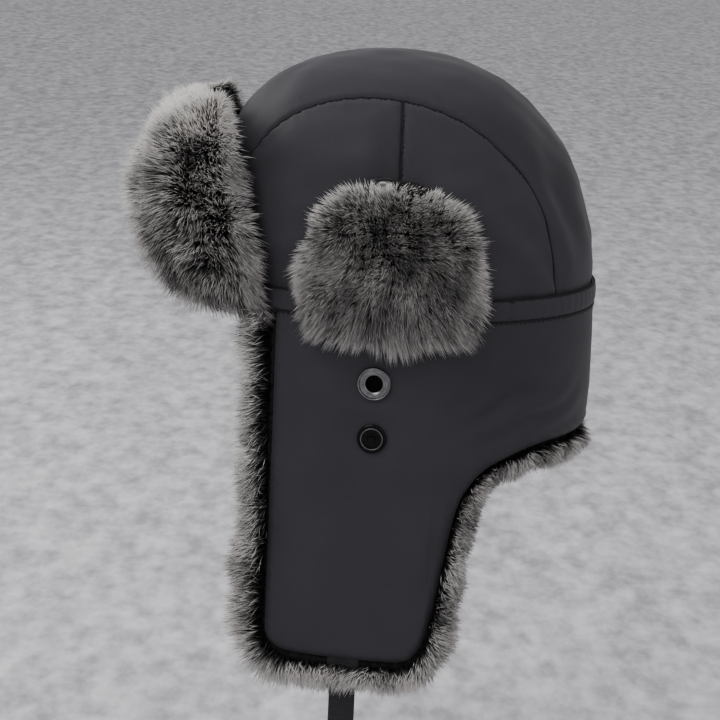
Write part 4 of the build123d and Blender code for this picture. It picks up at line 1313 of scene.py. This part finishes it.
class HAT_OT_ear_covers(HatOperator, bpy.types.Operator):
    """Round fur covers over the ears, turned up against the crown"""

    bl_idname = "hat.ear_covers"
    bl_label = "Ear covers"

    def execute(self, context):
        sizes = context.scene.hat_sizes
        for side, sign in SIDES.items():
            turn = np.linspace(-1, 1, 60) * math.pi / 2 * 0.995
            x, share = np.meshgrid(COVER_MIDDLE[0] + COVER_HALF * np.sin(turn), np.linspace(0, 1, 48))
            up = share * cover_top(x)
            rim = np.minimum(1 - (np.abs(x - COVER_MIDDLE[0]) / COVER_HALF) ** 6,
                             1 - np.abs(2 * share - 1) ** 6)
            face = sheet_piece(f"ear_cover_skin_{side}",
                               cover_place(x, up, 0.6 + 4.0 * np.clip(rim, 0, 1) ** 0.5, sign),
                               np.array((-10.0, 0, 30.0)), thick=0.6,
                               keep=lambda m: np.hypot(m[:, 0] - COVER_SNAP[0],
                                                       m[:, 2] - COVER_SNAP[1] - COVER_HINGE[1]) > 5.0)
            coat(face, finish_of("fur_skin"))
            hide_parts(f"ear_cover_fur_{side}")
            pieces = [face]
            for part, count, wide, scale, curved, finish in (
                    ("ear_cover_guard", 27500, 1.0, 1.0, True, "guard_hair"),
                    ("ear_cover_under", 12500, 2.7, 0.66, False, "underfur")):
                rng = np.random.default_rng(150 + count % 7)
                x = rng.uniform(COVER_MIDDLE[0] - COVER_HALF, COVER_MIDDLE[0] + COVER_HALF, count * 2)
                up = rng.uniform(0, COVER_TOP, count * 2)
                east = (x - COVER_MIDDLE[0]) / COVER_HALF
                below = np.maximum(COVER_FUR_MIDDLE - up, 0) / COVER_FUR_MIDDLE
                rounded = np.abs(east) ** 5 + below**5 < 1
                bare = np.hypot(x - COVER_SNAP[0], up - COVER_SNAP[1]) < 4.6
                inside = (up < cover_top(x) - COVER_BARE_RIM) & ~bare & rounded
                x, up, east = x[inside][:count], up[inside][:count], east[inside][:count]
                number = len(x)
                above = np.maximum(cover_top(x) - COVER_BARE_RIM - COVER_FUR_MIDDLE, 8)
                north = (up - COVER_FUR_MIDDLE) / np.where(up > COVER_FUR_MIDDLE, above, COVER_FUR_MIDDLE)
                radial = np.clip(np.maximum(np.abs(east), np.abs(north)), 0, 1)
                turn = np.arctan2(up - COVER_FUR_MIDDLE, x - COVER_MIDDLE[0])
                roots = cover_place(x, up, 2.5 - 2.0 * radial**4, sign)
                aim_out = cover_place(x, up, 10.0, sign) - cover_place(x, up, 0.0, sign)
                aim_x = np.stack((np.cos(turn), 0 * turn, np.sin(turn)), -1)
                tilt = np.minimum(0.10 + 1.45 * radial**1.9, 1.38)
                aims = unit(aim_out) * np.cos(tilt)[:, None] + aim_x * np.sin(tilt)[:, None]
                draw = clumped(np.stack((x, up), -1), 5.0, 0.45, 7.0)
                tuft = np.stack((draw[:, 0], 0 * turn, draw[:, 1]), -1)
                wander = np.stack([waves(roots, 22, 160 + k) for k in range(3)], -1)
                bend = tuft + wander * 2.2 + rng.normal(0, 1.1, (number, 3)) + np.array((0, 0, -1.5))
                beside = np.abs(east)
                shorter = 1 - 0.48 * smooth(0.3, 1.0, north) * (1 - smooth(0.2, 0.7, beside))
                lengths = (16.0 * scale * rng.uniform(0.8, 1.1, number) * shorter
                           * (1 + 0.42 * smooth(0.6, 1.0, -north)) * (1 - 0.2 * smooth(0.5, 1.0, beside)))
                # Painted rim light: locks paler towards the cover's rim, less so at its bottom, over a
                # random spread of tone.
                tones = (0.14 + 0.2 * waves(roots, 14, 171) + rng.normal(0, 0.24, number)
                         + radial**6 * (0.95 - 0.45 * smooth(0.3, 1.0, -north)))
                widths = sizes.hair_width / MM * wide * rng.uniform(0.7, 1.2, number)
                hairs = hair_piece(f"{part}_{side}", roots, aims, lengths, widths, tones, bend, 173, curved)
                pieces.append(coat(hairs, finish_of(finish)))
            for piece in pieces:
                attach(piece, f"ear_cover_{side}")
                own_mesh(piece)
            coat(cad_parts[f"ear_cover_shell_{side}"], finish_of("nylon_cloth"))
        return {"FINISHED"}


def ring_piece(name, middle, out, radius, wire):
    """Round wire ring about a place, square to a direction."""
    side = unit(np.cross(out, np.array((0, 0, 1.0))))
    up = np.cross(side, out)
    turn = np.linspace(0, 2 * math.pi, 56, endpoint=False)
    ray = np.cos(turn)[:, None] * side + np.sin(turn)[:, None] * up
    ring = np.linspace(0, 2 * math.pi, 8, endpoint=False)
    points = (middle + ray[:, None] * (radius + wire * np.cos(ring))[None, :, None]
              + out * (wire * np.sin(ring))[None, :, None])
    faces = grid_faces(len(turn), len(ring), wrap=True)
    last = (len(turn) - 1) * len(ring)
    here = np.arange(len(ring))
    after = (here + 1) % len(ring)
    faces = np.concatenate((faces, np.stack((last + here, last + after, after, here), -1)))
    flat = points.reshape(-1, 3)
    hearts = middle + ray * radius
    cross = np.cross(flat[faces[:, 2]] - flat[faces[:, 0]], flat[faces[:, 3]] - flat[faces[:, 1]])
    if (cross * (flat[faces].mean(1) - hearts[faces[:, 0] // len(ring)])).sum() < 0:
        faces = faces[:, ::-1]
    return make_piece(name, flat, [faces])


class HAT_OT_fittings(HatOperator, bpy.types.Operator):
    """Finishes of the snaps and eyelets, with the rolled rings pressed in their faces"""

    bl_idname = "hat.fittings"
    bl_label = "Snaps and eyelets"

    def execute(self, context):
        nickel = ["ear_eyelets", "eyelet_washers"] + [f"ear_cover_snap_socket_{side}" for side in SIDES]
        lacquer = ["wrap_snap_studs", "wrap_snap_backs"] + [f"ear_cover_snap_cap_{side}" for side in SIDES]
        for name in nickel:
            coat(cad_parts[name], finish_of("nickel"))
        for name in lacquer:
            coat(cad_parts[name], finish_of("black_lacquer"))
        for place, proud, rings, finish, slot in (
                (EYELET, 1.35, ((6.1, 0.45), (8.6, 0.45)), "nickel", "bright_metal"),
                # The snap's ring is paler metal, a painted highlight on the black snap.
                (SNAP, 1.3, ((5.9, 0.42),), "rubbed_lacquer", "black_metal")):
            turn = math.acos((place[0] - CENTRE_X) / HALF_LENGTH)
            middle, out, _, _ = skirt_frame(np.array((turn,)), np.array((place[1],)), -proud)
            for side, sign in SIDES.items():
                mirror = np.array((1, sign, 1))
                for radius, wire in rings:
                    ring = ring_piece(f"{finish}_ring_{radius:.0f}_{side}", middle[0] * mirror,
                                      out[0] * mirror, radius, wire)
                    coat(ring, finish_of(finish))
                    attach(ring, "crown")
        return {"FINISHED"}


MAKERS = (HAT_OT_camera, HAT_OT_straps, HAT_OT_stage, HAT_OT_crown, HAT_OT_band, HAT_OT_lining,
          HAT_OT_skirt, HAT_OT_skirt_fur, HAT_OT_visor, HAT_OT_ear_covers, HAT_OT_fittings)


class HAT_PT_panel(bpy.types.Panel):
    """Sizes, colours and makers of the hat"""

    bl_idname = "HAT_PT_panel"
    bl_label = "Trapper hat"
    bl_space_type = "VIEW_3D"
    bl_region_type = "UI"
    bl_category = "Hat"

    def draw(self, context):
        for group in (context.scene.hat_sizes, context.scene.hat_colours):
            for key in group.__annotations__:
                self.layout.prop(group, key)
        for maker in MAKERS:
            self.layout.operator(maker.bl_idname)


CLASSES = (HatSizes, HatColours, *MAKERS, HAT_PT_panel)


def register():
    for cls in CLASSES:
        bpy.utils.register_class(cls)
    bpy.types.Scene.hat_sizes = PointerProperty(type=HatSizes)
    bpy.types.Scene.hat_colours = PointerProperty(type=HatColours)


def unregister():
    del bpy.types.Scene.hat_colours
    del bpy.types.Scene.hat_sizes
    for cls in reversed(CLASSES):
        bpy.utils.unregister_class(cls)


def main():
    """Make the whole hat in order."""
    register()
    for maker in MAKERS:
        group, name = maker.bl_idname.split(".")
        getattr(getattr(bpy.ops, group), name)()


if __name__ == "__main__":
    main()
